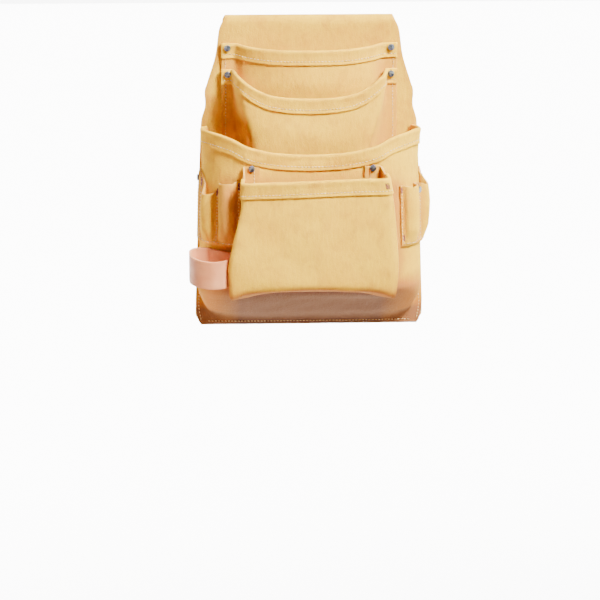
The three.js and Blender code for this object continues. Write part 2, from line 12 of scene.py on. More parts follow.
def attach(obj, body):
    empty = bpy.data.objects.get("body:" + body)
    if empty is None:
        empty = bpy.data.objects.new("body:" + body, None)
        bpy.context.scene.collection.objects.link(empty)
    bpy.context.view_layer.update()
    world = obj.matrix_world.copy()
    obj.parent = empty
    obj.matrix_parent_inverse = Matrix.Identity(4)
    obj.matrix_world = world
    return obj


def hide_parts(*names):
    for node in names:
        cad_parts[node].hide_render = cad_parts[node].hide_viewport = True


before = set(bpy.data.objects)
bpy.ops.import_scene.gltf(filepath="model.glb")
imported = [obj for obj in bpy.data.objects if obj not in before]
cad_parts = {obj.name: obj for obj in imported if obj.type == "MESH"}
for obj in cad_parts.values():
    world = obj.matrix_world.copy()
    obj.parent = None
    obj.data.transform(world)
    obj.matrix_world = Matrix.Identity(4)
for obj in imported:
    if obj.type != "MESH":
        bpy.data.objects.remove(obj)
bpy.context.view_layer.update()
MM = 0.001

# Leather: thickness, air between two leathers, and how much thinner a mesh is than its solid
LEATHER = 2.2
HEM_LEATHER = 1.5
STRAP = 3.0
SEAT = 0.3
SLACK = 0.1
STRAP_SLACK = 0.15
EDGE_ROUND = 0.4
EDGE_ANGLE = math.radians(80)
SMOOTH_ANGLE = math.radians(50)

# Spacing of the points on a surface
FINE = 2.2
COARSE = 3.4
PATCH_SPACING = 1.6
LOOP_SPACING = 1.8

# Unevenness of free leather: height and width of its waves, and a step of the seed
WAVES = ((2.4, 60, 0), (0.8, 21, 5))

# Folded hem: lap past its seam, roll at the mouth, pull of the stitches, and pucker
HEM_LAP = 2.0
HEM_ROLL = 0.9
HEM_ROLL_REACH = 3.4
HEM_PULL = 0.3
HEM_PULL_REACH = 1.7
HEM_PUCKER = 0.35
HEM_PUCKER_WIDTH = 8
HEM_PUCKER_SQUASH = 0.4
HEM_PUCKER_START = 4
HEM_FACE_ROWS = 11
HEM_ROLL_ROWS = 9
HEM_ROLL_SQUASH = 0.5
WALL_TOP_CLEAR = 0.6

# Least part of a face's normal along an axis for the face to point that way
FACING = 0.9

# Thread: a stitch lies flat for a share of its length, then thins and dips at both ends
THREAD_RADIUS = 0.5
THREAD_SIDES = 6
STITCH_PITCH = 3.5
STITCH_LENGTH = 2.7
STITCH_FLAT = 0.6
STITCH_TAPER = 0.55
STITCH_DIP = 0.45
STITCH_AIM_REACH = 0.8
STITCH_INSET = 4.0
LINE_POINTS = 120
HEM_LINE_POINTS = 160
HEM_SEAM_ENDS = (0.005, 0.995)
SEAM_ENDS = (0.02, 0.98)
SEAM_BELOW_HEM = 2
BARTACK_PITCH = 1.5
BARTACK_HALF = 3
BARTACK_ROWS = (-1.0, -0.35, 0.35, 1.0)

# Rivets: the cap's crown is pressed in steps of inset and rise
CAP_RADIUS = 3.4
CAP_SIDES = 28
CAP_HEIGHT = 1.3
CAP_STEPS = ((0.5, 0.25), (0.6, -0.15), (0.5, 0.2), (1.0, 0.15))
CAP_ROUND = 0.22
CAP_ANGLE = math.radians(40)
SHANK_RADIUS = 1.5
BURR_RADIUS = 3.0
BURR_THICKNESS = 0.9

# Back panel and belt tunnel
TUNNEL_HEIGHT = 76.0
TUNNEL_DEPTH = 10.0
TUNNEL_TUCK = 16.0
TUNNEL_SEAM = 16.0
PANEL_HEIGHT = 333.0
PANEL_HALF = 122.0
PANEL_TOP = TUNNEL_HEIGHT / 2 + LEATHER
PANEL_BOTTOM = PANEL_TOP - PANEL_HEIGHT
PANEL_MIDDLE_Y = (TUNNEL_DEPTH + LEATHER) / 2
PANEL_FRONT_Y = -TUNNEL_DEPTH / 2 - LEATHER
PANEL_COLUMNS = 9
PANEL_ROWS = 60
FOLD_ROWS = 9
FLAP_ROWS = 12
TUCK_SHARES = (0.3, 0.5, 0.7, 1.0)
PANEL_WEAR = 0.8
PANEL_SEED = 11
TUNNEL_SEAM_INSET = 4
TUNNEL_SEAM_GAP = 8
TUNNEL_SEAM_LIFT = 0.9
TUNNEL_RIVET_INSET = 30
TUNNEL_RIVET_Z = -62

# Upper and middle pockets
UPPER_EDGE = 92.1
UPPER_FLANGE = 16
MIDDLE_FLANGE = 12
UPPER_FOLD = UPPER_EDGE - UPPER_FLANGE
MIDDLE_FOLD = UPPER_EDGE - MIDDLE_FLANGE
UPPER_TOP = 12.0
UPPER_HEIGHT = 176
UPPER_DEPTH = 22
UPPER_DIP = 5.2
UPPER_HEM = 14.0
UPPER_FLANGE_Y = PANEL_FRONT_Y - SEAT - LEATHER
UPPER_WEAR = 0.9
UPPER_SEED = 21
MIDDLE_TOP = -15.0
MIDDLE_HEIGHT = 145
MIDDLE_DEPTH = 37.5
MIDDLE_DIP = 25.5
MIDDLE_HEM = 14.0
MIDDLE_WEAR = 1.0
MIDDLE_SEED = 33
SEWN_SEAM_END = 4
UPPER_RIVET_INSET = 6.5
UPPER_RIVET_DROP = 5
MIDDLE_RIVET_DROP = 5.5

# Main pocket
MAIN_MARGIN = 10.7
MAIN_HALF = PANEL_HALF - MAIN_MARGIN
MAIN_FLAT = 0.59
MAIN_TOP = -72.0
MAIN_BOTTOM = -289.0
MAIN_DEPTH = 70.0
MAIN_DIP = 21.5
MAIN_HEM = 15.0
MAIN_FLANGE = 7.5
MAIN_SPREAD = 1.07
MAIN_FACE_Y = PANEL_FRONT_Y - MAIN_DEPTH
MAIN_LIP = 0.99
MAIN_PRESS = 0.09
MAIN_SEAM_INSET = 3.2
MAIN_SEAM_END = 6
MAIN_BOTTOM_SEAM = 4.5
MAIN_BOTTOM_ENDS = (0.03, 0.97)
MAIN_WEAR = 1.0
MAIN_SEED = 45

# Front pocket
FRONT_OVERLAP = 4.4
FRONT_SPLAY = 17
FRONT_FOLD = MAIN_HALF * MAIN_FLAT + FRONT_OVERLAP
FRONT_CREASE = FRONT_FOLD + FRONT_SPLAY
FRONT_FLANGE = 16.0
FRONT_TOP = -103.6
FRONT_HEIGHT = 134.0
FRONT_DEPTH = 28.0
FRONT_DIP = 12.0
FRONT_HEM = 15.5
FRONT_EAR = 11.0
FRONT_TUCK = 5.0
FRONT_TILT = 2.4
FRONT_LEAN = 4.2
FRONT_HEM_START = 4
FRONT_HEM_SEAM_START = 0.008
FRONT_SEAM_INSET = 5
FRONT_SEAM_TOP = 3
FRONT_SEAM_SHARE = 0.8
FRONT_BARTACK_INSET = 3.5
FRONT_BARTACK_DROP = 8
FRONT_BARTACK_CLEAR = 0.1
FRONT_RIVET_INSET = 7.5
FRONT_RIVET_DROP = 4
FRONT_WEAR = 0.9
FRONT_SEED = 58

# Side patches and handle loop, whose ends lie on the main wall at places in columns of its section
LEFT_PATCH_TOP = -116.0
LEFT_PATCH_HEIGHT = 74
RIGHT_PATCH_TOP = -117.0
RIGHT_PATCH_HEIGHT = 76
PATCH_SEAM_INSET = 4
PATCH_BOTTOM_SEAM = 3
PATCH_BARTACK_DROP = 5
PATCH_CORNER = (3, 9)
LOOP_HEIGHT = 29.0
LOOP_MIDDLE = -215.5
LOOP_REACH = 24.0
LOOP_SWING = 46.0
LOOP_RISE = 0.16
LOOP_ROWS = 5
LOOP_RIVET_GAP = 14
LOOP_RIVET_PLACE = 7.44
LOOP_INNER_PLACES = (7.6, 7.3, 7.0, 6.5, 6.0)
LOOP_OUTER_PLACES = (7.1, 7.35, 7.6)

# Side rivets: node, place on the main wall in columns of its section, side, height
SIDE_RIVETS = [
    ("left_side_rivet", 3.7, -1, LEFT_PATCH_TOP - 9),
    ("right_side_rivet", 3.18, 1, RIGHT_PATCH_TOP - 11),
    ("right_seam_rivet", 4.76, 1, RIGHT_PATCH_TOP - 20),
]

# Where leather hangs free and can wave: start and length of a ramp. What is below counts down
PANEL_FREE_ABOVE = (16, 14)
PANEL_FREE_BEHIND = (-30, 12)
PANEL_BEHIND_Y = 4
PANEL_BEHIND_SHARE = 0.6
SEWN_FREE_START = 3
SEWN_FREE_SHARE = 0.4
MAIN_FREE_OFF = (3, 25)
MAIN_FREE_BESIDE = (70, 14)
MAIN_FREE_ABOVE = (-104, 6)
MAIN_FREE_BELOW = (244, 8)
FRONT_FREE = (4, 12)

# Where painted shade darkens the leather: start, length and most of a ramp. Low, under and lip
# count down
PANEL_EDGE_SHADE = (0.94, 0.25, 0.2)
PANEL_LOW_SHADE = (250, 90, 0.4)
UNDER_SHADE = (219, 20, 0.95)
UNDER_EDGE = (74, 50)
UNDER_EDGE_SHARE = 0.3
LIP_SHADE = (258, 22, 0.8)
EAR_SHADE = (0.08, 0.2, 0.6)
EAR_SHADE_Z = -212
GAP_SHADE = 0.42
GAP_SHADE_REACH = 10
GAP_SHADE_FALL = (6, 20)
SEAM_SHADE = 0.3
MAIN_SEAM_SHADE = 0.35
SEAM_SHADE_HEIGHT = 2.0
SEAM_SHADE_REACH = 7.0
PATCH_SHADE = 0.28
PATCH_SHADE_REACH = 3.0

# Studio, in metres: a lamp's place, aim, size, watts, beam in degrees and colour
FLOOR_Z = -1.4
FLOOR_SIZE = 21
WHITE = (1, 1, 1)
GOLD = (1, 0.46, 0.18)
DIM_WARM = (1, 0.7, 0.5, 1)
DIM_STRENGTH = 0.05
BACKDROP_STRENGTH = 8.0
MIRRORED_STRENGTH = 0.7
LAMPS = [
    ("key_light", (1.0, -1.2, 1.58), (0, -0.05, -0.12), (0.6, 0.6), 19, 45, WHITE),
    ("gold_reflector", (-1.0, -1.2, -0.5), (0, 0, -0.16), (0.9, 0.9), 1.6, 60, GOLD),
    ("back_light", (-0.9, 1.9, 1.6), (0, 0, -0.12), (1.2, 1.2), 6, 60, WHITE),
]

# Lamps over the paper, a quarter turn from one to the next: watts and size
PAPER_LAMPS = [
    ("back", 9600, (21, 11)), ("left", 260, (9, 9)), ("front", 150, (9, 9)), ("right", 500, (9, 9)),
]
PAPER_LAMP_OUT = 6.5
PAPER_LAMP_Z = 1.9
PAPER_BEAM = 70

# Camera: aim in millimetres, distance in metres, angles in degrees
CAMERA_AIM = (-12.14, -66.83, -251.16)
CAMERA_AWAY = 2.5
CAMERA_TURN = -2.5
CAMERA_TILT = 15
CAMERA_LENS = 142.86
CAMERA_SENSOR = 36

# Panel outline: share of the height from the top, share of the widest half
PANEL_OUTLINE = np.array([
    (0.0, 0.713), (0.022, 0.746), (0.04, 0.769), (0.121, 0.802), (0.217, 0.881),
    (0.244, 0.902), (0.277, 0.895), (0.337, 0.934), (0.481, 0.951), (0.871, 0.992),
    (0.964, 1.0), (1.0, 0.951),
])

# Half sections from the seam to the middle: across, flat, depth and dip as shares
UPPER_SECTION = [
    (0.95, 0.94, 0.18, 0.1), (0.88, 0.84, 0.4, 0.3), (0.73, 0.68, 0.66, 0.6),
    (0.5, 0.48, 0.86, 0.9), (0.25, 0.25, 0.97, 1), (0, 0, 1, 1),
]
MIDDLE_SECTION = [
    (0.965, 0.95, 0.5, 0), (0.935, 0.88, 0.86, 0.05), (0.85, 0.8, 0.96, 0.3),
    (0.7, 0.66, 0.99, 0.63), (0.5, 0.48, 1, 0.87), (0.25, 0.25, 1, 0.97), (0, 0, 1, 1),
]
MAIN_SECTION = [
    (1, 1, 0, 0.19), (1, 1, 0, 0.17),
    (0.975, 0.9, 0.12, 0.13), (1.0, 0.85, 0.27, 0.08), (1.0, 0.8, 0.46, 0.04),
    (0.955, 0.74, 0.65, 0), (0.865, 0.66, 0.82, 0.06), (0.725, 0.56, 0.94, 0.25),
    (MAIN_FLAT, 0.47, 1, 0.6), (0.27, 0.24, 1, 0.94), (0, 0, 1, 1),
]

# Front pocket's columns: reach over the gusset or across the face, flat, depth, dip, ear
FRONT_GUSSET = [(0.5, 0.97, 0.45, 0.5, 0.5), (1, 0.92, 0.88, 1, 1)]
FRONT_FACE = [
    (0.94, 0.86, 0.95, 1, 0.75), (0.76, 0.7, 0.97, 0.97, 0.3), (0.4, 0.38, 0.99, 0.96, 0.05),
    (0, 0, 1, 0.96, 0),
]

# Dip, width, depth and opening of a level where nothing is drawn in
FULL = (1, 1, 1, 1)

# Levels from the mouth down: down, dip, width, depth and open as shares
UPPER_LEVELS = [
    (0.2, 0.7, 1, 0.95, 1), (0.36, 0.3, 1, 0.72, 0.8), (0.54, 0, 1, 0.38, 0.4),
    (0.72, 0, 1, 0.05, 0), (1, 0, 1, 0, 0),
]
MIDDLE_LEVELS = [
    (0.26, 0.8, 0.95, 1, 1), (0.42, 0.4, 0.87, 0.98, 1), (0.64, 0, 0.78, 0.9, 0.9),
    (0.84, 0, 0.74, 0.6, 0.6), (0.95, 0, 1, 0.12, 0), (1, 0, 1, 0, 0),
]
MAIN_LEVELS = [
    (0.762, 0, 1, 1, 1), (0.785, 0, 1, 0.95, 1), (0.835, 0, 1, 0.75, 0.9),
    (0.91, 0, 1, 0.41, 0.6), (0.995, 0, 1, 0.02, 0),
    ((MAIN_TOP - PANEL_BOTTOM) / (MAIN_TOP - MAIN_BOTTOM), 0, 1, 0, 0),
]

# Front pocket's levels: down, dip, crease, fold, depth, open, ear and lean as shares
FRONT_MOUTH = (0, 1, 0.84, 1, 1, 1, 0, 0.5)
FRONT_LEVELS = [
    (FRONT_HEM / FRONT_HEIGHT, 1, 0.875, 1, 1, 1, 0, 0.7),
    (0.25, 0.4, 0.886, 0.985, 1, 1, 0, 1), (0.4, 0, 0.915, 0.97, 1, 1, 0, 0.92),
    (0.62, 0, 0.96, 0.94, 0.99, 1, 0.1, 0.4), (0.8, 0, 0.992, 0.91, 0.96, 1, 0.5, 0.1),
    (0.915, 0, 0.985, 0.89, 0.92, 1, 0.9, 0), (0.95, 0, 0.96, 0.885, 0.82, 1, 1, 0),
    (0.98, 0, 0.85, 0.88, 0.45, 0.5, 0.5, 0), (1, 0, 0.8, 0.88, 0.06, 0, 0, 0),
]

# Side patches: place on the main wall in columns of its section, lift in mm, fall of the top
LEFT_PATCH = [
    (7.6, 0, 4.2), (7.4, 0, 5.2), (7.2, 8.2, 6.3), (6.85, 12, 6.5), (6.5, 9, 6.9),
    (6.27, 0, 9.5), (6.0, 0, 17.8), (5.8, 5.6, 20.4), (5.5, 8, 21), (5.2, 5.6, 20.4),
    (5.0, 0, 12.6), (4.0, 0, 1), (3.4, 0, 0),
]
RIGHT_PATCH = [
    (6.5, 0, 11.9), (6.36, 0, 11.9), (6.18, 5.9, 12.2), (6.0, 8.6, 12.6), (5.7, 9, 12.6),
    (5.45, 6.3, 12.2), (5.25, 0, 11.6), (5.0, 0, 11.9), (4.42, 0, 13.6), (4.26, 6.1, 15.6),
    (4.0, 7.6, 16.2), (3.76, 6.1, 13.6), (3.55, 0, 3.4), (3.0, 0, 0.5), (2.85, 0, 0),
]
PATCH_LEVELS = [(0, 1, 1), (0.4, 1, 0.3), (0.75, 0.85, 0), (0.9, 0.4, 0), (1, 0, 0)]

# Handle loop's free run: out to the side and ahead of the main face, as shares
LOOP_SLACK = [
    (0.67, -0.64), (0.93, -0.6), (1.05, -0.25), (1.04, 0.2), (0.92, 0.62), (0.7, 0.9),
    (0.53, 0.98), (0.37, 0.93), (0.24, 0.8), (0.14, 0.6), (0.12, 0.35),
]


def mix(a, b, share):
    return a + (b - a) * share


def ramp(value, start, length, most=1):
    """Zero up to the start, then one more for each length, and never over the most."""
    return np.clip((value - start) / length, 0, most)


def eased(values, knots, at):
    """Cubic interpolation that passes through every value and never overshoots."""
    step = np.diff(knots)[:, None]
    slope = np.diff(values, axis=0) / step
    tangent = np.zeros_like(values)
    tangent[0] = slope[0]
    tangent[-1] = slope[-1]
    same = slope[:-1] * slope[1:] > 0
    total = np.where(same, slope[:-1] + slope[1:], 1)
    tangent[1:-1] = np.where(same, 2 * slope[:-1] * slope[1:] / total, 0)
    low = np.clip(np.searchsorted(knots, at, side="right") - 1, 0, len(knots) - 2)
    t = ((at - knots[low]) / step[low, 0])[:, None]
    first = tangent[low] * step[low]
    last = tangent[low + 1] * step[low]
    return (
        (2 * t**3 - 3 * t**2 + 1) * values[low] + (t**3 - 2 * t**2 + t) * first
        + (3 * t**2 - 2 * t**3) * values[low + 1] + (t**3 - t**2) * last
    )


def knots_of(lengths):
    return np.concatenate([[0.0], np.cumsum(lengths)])


def fine_steps(length, spacing):
    return np.linspace(0, length, max(2, int(round(length / spacing)) + 1))


class Surface:
    """A smooth surface through a grid of control points, rows down and columns to the right."""

    def __init__(self, control, spacing):
        control = np.array(control, float)
        rows = control.shape[0]
        self.across = knots_of(np.linalg.norm(np.diff(control, axis=1), axis=2).mean(axis=0))
        self.down = knots_of(np.linalg.norm(np.diff(control, axis=0), axis=2).mean(axis=1))
        self.u = fine_steps(self.across[-1], spacing)
        self.v = fine_steps(self.down[-1], spacing)
        wide = np.stack([eased(row, self.across, self.u) for row in control])
        tall = eased(wide.reshape(rows, -1), self.down, self.v)
        self.grid = tall.reshape(len(self.v), len(self.u), 3)

    def normals(self):
        down = np.gradient(self.grid, axis=0)
        across = np.gradient(self.grid, axis=1)
        out = np.cross(down, across)
        return out / np.linalg.norm(out, axis=2)[..., None]

    def at(self, u, v):
        """Point and outward normal at fine lengths u across and v down."""
        def blended(field):
            i = np.interp(u, self.u, np.arange(len(self.u)))
            j = np.interp(v, self.v, np.arange(len(self.v)))
            i0, j0 = int(i), int(j)
            i1, j1 = min(i0 + 1, len(self.u) - 1), min(j0 + 1, len(self.v) - 1)
            upper = mix(field[j0, i0], field[j0, i1], i - i0)
            lower = mix(field[j1, i0], field[j1, i1], i - i0)
            return mix(upper, lower, j - j0)
        return blended(self.grid), blended(self.out)

    def settle(self):
        """Keeps the normals, once the grid has its final shape."""
        self.out = self.normals()
        return self


def ripple(point, size, seed):
    return noise.noise(Vector(point / size) + Vector((seed, seed * 1.7, -seed)))


def worn(surface, seed, free, strength, eased_times=2):
    """Pushes the leather in and out a little where it hangs free of its carrier."""
    out = surface.normals()
    for j in range(surface.grid.shape[0]):
        for i in range(surface.grid.shape[1]):
            point = surface.grid[j, i]
            share = free(point)
            if share > 0:
                push = sum(high * ripple(point, wide, seed + step) for high, wide, step in WAVES)
                surface.grid[j, i] = point + out[j, i] * push * share * strength
    # leather this thick takes no sharp fold, so each column eases towards its neighbours
    for _ in range(eased_times):
        beside = surface.grid[:, :-2] + surface.grid[:, 2:]
        surface.grid[:, 1:-1] = mix(surface.grid[:, 1:-1], beside / 2, 0.5)
    surface.settle()


def both_sides(half):
    """Columns from the left seam to the right one, each headed by its side."""
    return [(-1, *row) for row in half] + [(1, *row) for row in half[-2::-1]]


# Finishes

# painted shade: an orange for light shade and a brown for deep shade
LIGHT_SHADE_ORANGE = 0xC27C34
DEEP_SHADE_BROWN = 0x725444


def srgb(hex_value):
    """Linear colour of an sRGB hex value."""
    channels = [(hex_value >> shift & 255) / 255 for shift in (16, 8, 0)]
    linear = [c / 12.92 if c <= 0.04045 else ((c + 0.055) / 1.055) ** 2.4 for c in channels]
    return (*linear, 1.0)


def add_node(tree, kind, settings=None, inputs=None):
    """Adds a node, sets its properties, and sets or links its inputs."""
    made = tree.nodes.new(kind)
    for name, value in (settings or {}).items():
        setattr(made, name, value)
    for name, value in (inputs or {}).items():
        if isinstance(value, bpy.types.NodeSocket):
            tree.links.new(value, made.inputs[name])
        else:
            made.inputs[name].default_value = value
    return made


def new_finish(name, sockets):
    """A material whose plain values are set on the shader's own sockets."""
    finish = bpy.data.materials.new(name)
    finish.use_nodes = True
    tree = finish.node_tree
    shader = tree.nodes["Principled BSDF"]
    for socket, value in sockets.items():
        shader.inputs[socket].default_value = value
    place = add_node(tree, "ShaderNodeTexCoord").outputs["Object"]
    return finish, tree, shader, place


def per_mm(size):
    """Scale of a noise whose features are this many millimetres wide."""
    return 1.0 / (size * MM)


def stain(tree, base, pattern, low, high, colour, most=1.0):
    """Lays a colour over the base, more of it as the pattern goes from low to high."""
    share = add_node(tree, "ShaderNodeMapRange", None, {
        "Value": pattern, "From Min": low, "From Max": high, "To Max": most,
    }).outputs["Result"]
    # a colour mix has its two colours at inputs 6 and 7, and its result at output 2
    return add_node(tree, "ShaderNodeMix", {"data_type": "RGBA"}, {
        "Factor": share, 6: base, 7: srgb(colour),
    }).outputs[2]


def colour_and_relief(tree, shader, colour, height, strength, depth):
    """Links a colour, and a relief whose depth is in millimetres."""
    bump = add_node(tree, "ShaderNodeBump", None, {
        "Strength": strength, "Distance": depth * MM, "Height": height,
    })
    tree.links.new(colour, shader.inputs["Base Color"])
    tree.links.new(bump.outputs["Normal"], shader.inputs["Normal"])


def suede(name, light, mid, dark, seed):
    """Split suede, sanded to a short nap: matt and mottled, with painted shade in folds, gaps and
    under the pockets.
    """
    finish, tree, shader, place = new_finish(name, {
        "Roughness": 0.95, "Specular IOR Level": 0.08,
        "Sheen Weight": 0.1, "Sheen Roughness": 0.5, "Sheen Tint": srgb(0xFFC87A),
    })
    shift = add_node(tree, "ShaderNodeVectorMath", {"operation": "ADD"}, {0: place, 1: (seed,) * 3})
    spot = shift.outputs["Vector"]
    # hide's own cloudy colour, 38 mm wide
    cloud = add_node(tree, "ShaderNodeTexNoise", None, {
        "Vector": spot, "Scale": per_mm(38), "Detail": 5.0, "Roughness": 0.6,
    }).outputs["Fac"]
    colour = stain(tree, srgb(mid), cloud, 0.32, 0.68, light)
    # warm patches where the tanning took deeper, 17 mm wide
    patch = add_node(tree, "ShaderNodeTexNoise", None, {
        "Vector": spot, "Scale": per_mm(17), "Detail": 3.0, "Distortion": 0.6,
    }).outputs["Fac"]
    colour = stain(tree, colour, patch, 0.5, 0.78, dark, 0.5)
    # nap brushed up and down, in strokes of 3.4 by 10 mm
    brushed = add_node(tree, "ShaderNodeMapping", None, {"Vector": spot, "Scale": (1, 1, 0.35)})
    nap = add_node(tree, "ShaderNodeTexNoise", None, {
        "Vector": brushed.outputs["Vector"], "Scale": per_mm(3.4), "Detail": 3.0,
    }).outputs["Fac"]
    colour = stain(tree, colour, nap, 0.5, 0.72, dark, 0.26)
    # single fibres are too fine to show, so the grain is drawn 1.3 mm wide
    fibre = add_node(tree, "ShaderNodeTexNoise", None, {
        "Vector": spot, "Scale": per_mm(1.3), "Detail": 2.0,
    }).outputs["Fac"]
    colour = stain(tree, colour, fibre, 0.52, 0.75, dark, 0.35)
    # painted shade read from the mesh: orange where the shade is light, brown where it is deep
    painted_shade = add_node(tree, "ShaderNodeAttribute", {"attribute_name": "painted_shade"}).outputs["Fac"]
    colour = stain(tree, colour, painted_shade, 0, 0.5, LIGHT_SHADE_ORANGE)
    colour = stain(tree, colour, painted_shade, 0.5, 1, DEEP_SHADE_BROWN)
    height = add_node(tree, "ShaderNodeMath", {"operation": "MULTIPLY_ADD"}, {
        0: nap, 1: 1.3, 2: fibre,
    }).outputs["Value"]
    colour_and_relief(tree, shader, colour, height, 0.8, 0.5)
    return finish


def tanned(name, light, dark):
    """Vegetable tanned strap leather, glazed: smooth, pinkish, with a satin grain."""
    finish, tree, shader, place = new_finish(name, {"Specular IOR Level": 0.4})
    cloud = add_node(tree, "ShaderNodeTexNoise", None, {
        "Vector": place, "Scale": per_mm(16), "Detail": 4.0,
    }).outputs["Fac"]
    colour = stain(tree, srgb(light), cloud, 0.35, 0.7, dark)
    # pores 1.2 mm apart
    pores = add_node(tree, "ShaderNodeTexVoronoi", None, {"Vector": place, "Scale": per_mm(1.2)})
    rough = add_node(tree, "ShaderNodeMapRange", None, {
        "Value": cloud, "From Min": 0.3, "From Max": 0.7, "To Min": 0.42, "To Max": 0.56,
    }).outputs["Result"]
    tree.links.new(rough, shader.inputs["Roughness"])
    colour_and_relief(tree, shader, colour, pores.outputs["Distance"], 0.35, 0.12)
    return finish


def cut_edge(name, light, dark):
    """Raw cut edge of the hide: loose pale fibres in layers."""
    finish, tree, shader, place = new_finish(name, {"Roughness": 0.95, "Specular IOR Level": 0.1})
    fibre = add_node(tree, "ShaderNodeTexNoise", None, {
        "Vector": place, "Scale": per_mm(0.9), "Detail": 3.0,
    }).outputs["Fac"]
    colour = stain(tree, srgb(dark), fibre, 0.35, 0.65, light)
    colour_and_relief(tree, shader, colour, fibre, 0.7, 0.3)
    return finish


def waxed_thread(name, light, dark):
    """Twisted cotton thread, waxed: satin, with darker hollows between its plies."""
    finish, tree, shader, place = new_finish(name, {"Roughness": 0.7})
    # diagonal bands come 0.36 of this size apart, so the plies show 2 mm wide
    ply = add_node(tree, "ShaderNodeTexWave", {"bands_direction": "DIAGONAL"}, {
        "Vector": place, "Scale": per_mm(5.5), "Distortion": 1.5,
    }).outputs["Fac"]
    colour = stain(tree, srgb(dark), ply, 0, 1, light)
    colour_and_relief(tree, shader, colour, ply, 0.5, 0.1)
    return finish


def blued_steel(name, light, dark):
    """Pressed steel, blackened in a bath, then rubbed: blue-grey with brighter patches."""
    finish, tree, shader, place = new_finish(name, {"Metallic": 1.0})
    rub = add_node(tree, "ShaderNodeTexNoise", None, {
        "Vector": place, "Scale": per_mm(2.5), "Detail": 4.0,
    }).outputs["Fac"]
    colour = stain(tree, srgb(dark), rub, 0.4, 0.7, light)
    rough = add_node(tree, "ShaderNodeMapRange", None, {
        "Value": rub, "From Min": 0.35, "From Max": 0.7, "To Min": 0.28, "To Max": 0.5,
    }).outputs["Result"]
    tree.links.new(rough, shader.inputs["Roughness"])
    colour_and_relief(tree, shader, colour, rub, 0.3, 0.05)
    return finish


# the panel's suede is a darker, more orange copy of the pockets': painted shade for the panel lying
# deeper behind them
PANEL_SUEDE_SHADED = suede("split_suede_panel", light=0xEABC20, mid=0xE2AE1E, dark=0xC47E28, seed=3.1)
POCKET_SUEDE = suede(
    "split_suede_pockets", light=0xF4C622, mid=0xEDB820, dark=0xD0902A, seed=7.4,
)
RAW_EDGE = cut_edge("raw_hide_edge", light=0xE6B85C, dark=0xC48C3E)
STRAP_LEATHER = tanned("vegetable_tanned_strap", light=0xE29A68, dark=0xD58A58)
THREAD = waxed_thread("waxed_cotton_thread", light=0xE8C88C, dark=0xC2944F)
BARTACK_THREAD = waxed_thread("bartack_thread", light=0x94583C, dark=0x6A3A28)
STEEL = blued_steel("blued_steel_cap", light=0xA0A8B2, dark=0x5A6470)


# Making meshes

def apply_modifier(piece, kind, **settings):
    made = piece.modifiers.new(kind.lower(), kind)
    for name, value in settings.items():
        setattr(made, name, value)
    bpy.ops.object.modifier_apply(modifier=made.name)


def only(piece):
    bpy.ops.object.select_all(action="DESELECT")
    piece.select_set(True)
    bpy.context.view_layer.objects.active = piece


def leather_sheet(name, grid, skin, thickness=LEATHER - SLACK, painted_shade=None, edge=RAW_EDGE):
    """Lays a subdivided plane on a grid of points and gives it the hide's thickness."""
    rows, columns = grid.shape[:2]
    bpy.ops.object.select_all(action="DESELECT")
    bpy.ops.mesh.primitive_grid_add(
        x_subdivisions=columns - 1, y_subdivisions=rows - 1, size=1, calc_uvs=False,
    )
    piece = bpy.context.active_object
    piece.name = name
    piece.data.name = name
    piece.data.vertices.foreach_set("co", (grid[::-1] * MM).ravel())
    # painted shade for each point, kept in an attribute that the suede reads
    values = np.zeros((rows, columns)) if painted_shade is None else painted_shade
    shade_layer = piece.data.attributes.new("painted_shade", "FLOAT", "POINT")
    shade_layer.data.foreach_set("value", values[::-1].ravel().astype(np.float32))
    piece.data.materials.append(skin)
    piece.data.materials.append(edge)
    only(piece)
    apply_modifier(piece, "SOLIDIFY", thickness=thickness * MM, offset=0, material_offset_rim=1)
    apply_modifier(
        piece, "BEVEL", width=EDGE_ROUND * MM, segments=2, limit_method="ANGLE",
        angle_limit=EDGE_ANGLE, material=-1,
    )
    bpy.ops.object.shade_smooth_by_angle(angle=SMOOTH_ANGLE)
    return piece


def finish_piece(piece, slot, *nodes):
    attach(piece, "root")
    if nodes:
        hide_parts(*nodes)


def hem_gap(v, u, hem, seed):
    """How far the folded hem's middle stands off the wall's, v below the mouth.

    It is rolled full at the mouth, sags hollow, and is pulled down by its stitches.
    """
    flat = (LEATHER + HEM_LEATHER) / 2
    roll = HEM_ROLL * math.exp(-(v / HEM_ROLL_REACH) ** 2)
    pull = HEM_PULL * math.exp(-((v - hem + STITCH_INSET) / HEM_PULL_REACH) ** 2)
    wave = ripple(np.array([u, v * HEM_PUCKER_SQUASH, 0]), HEM_PUCKER_WIDTH, seed)
    return flat + roll - pull + HEM_PUCKER * wave * min(1, v / HEM_PUCKER_START)


def hem_rows(surface, hem, seed, first, last):
    """The mouth's edge folded over once to the outside: raw edge, face, roll, wall's top."""
    columns = surface.u[first:last]
    hem = hem + HEM_LAP
    drop = LEATHER
    rows = []
    for v in np.linspace(hem, drop, HEM_FACE_ROWS):
        row = []
        for u in columns:
            point, out = surface.at(u, v)
            row.append(point + out * hem_gap(v - drop, u, hem - drop, seed))
        rows.append(row)
    for angle in np.linspace(0, math.pi, HEM_ROLL_ROWS)[1:]:
        row = []
        for u in columns:
            gap = hem_gap(0, u, hem - drop, seed)
            point, out = surface.at(u, drop)
            below, _ = surface.at(u, drop + FINE)
            up = (point - below) / np.linalg.norm(point - below)
            turn = gap * (1 + math.cos(angle)) / 2
            row.append(point + out * turn + up * gap * HEM_ROLL_SQUASH * math.sin(angle))
        rows.append(row)
    return np.array(rows)


def below_hem(surface, drop=LEATHER):
    """The wall's rows from just under the fold down."""
    top = np.array([surface.at(u, drop)[0] for u in surface.u])
    keep = surface.v > drop + WALL_TOP_CLEAR
    return np.concatenate([top[None], surface.grid[keep]])


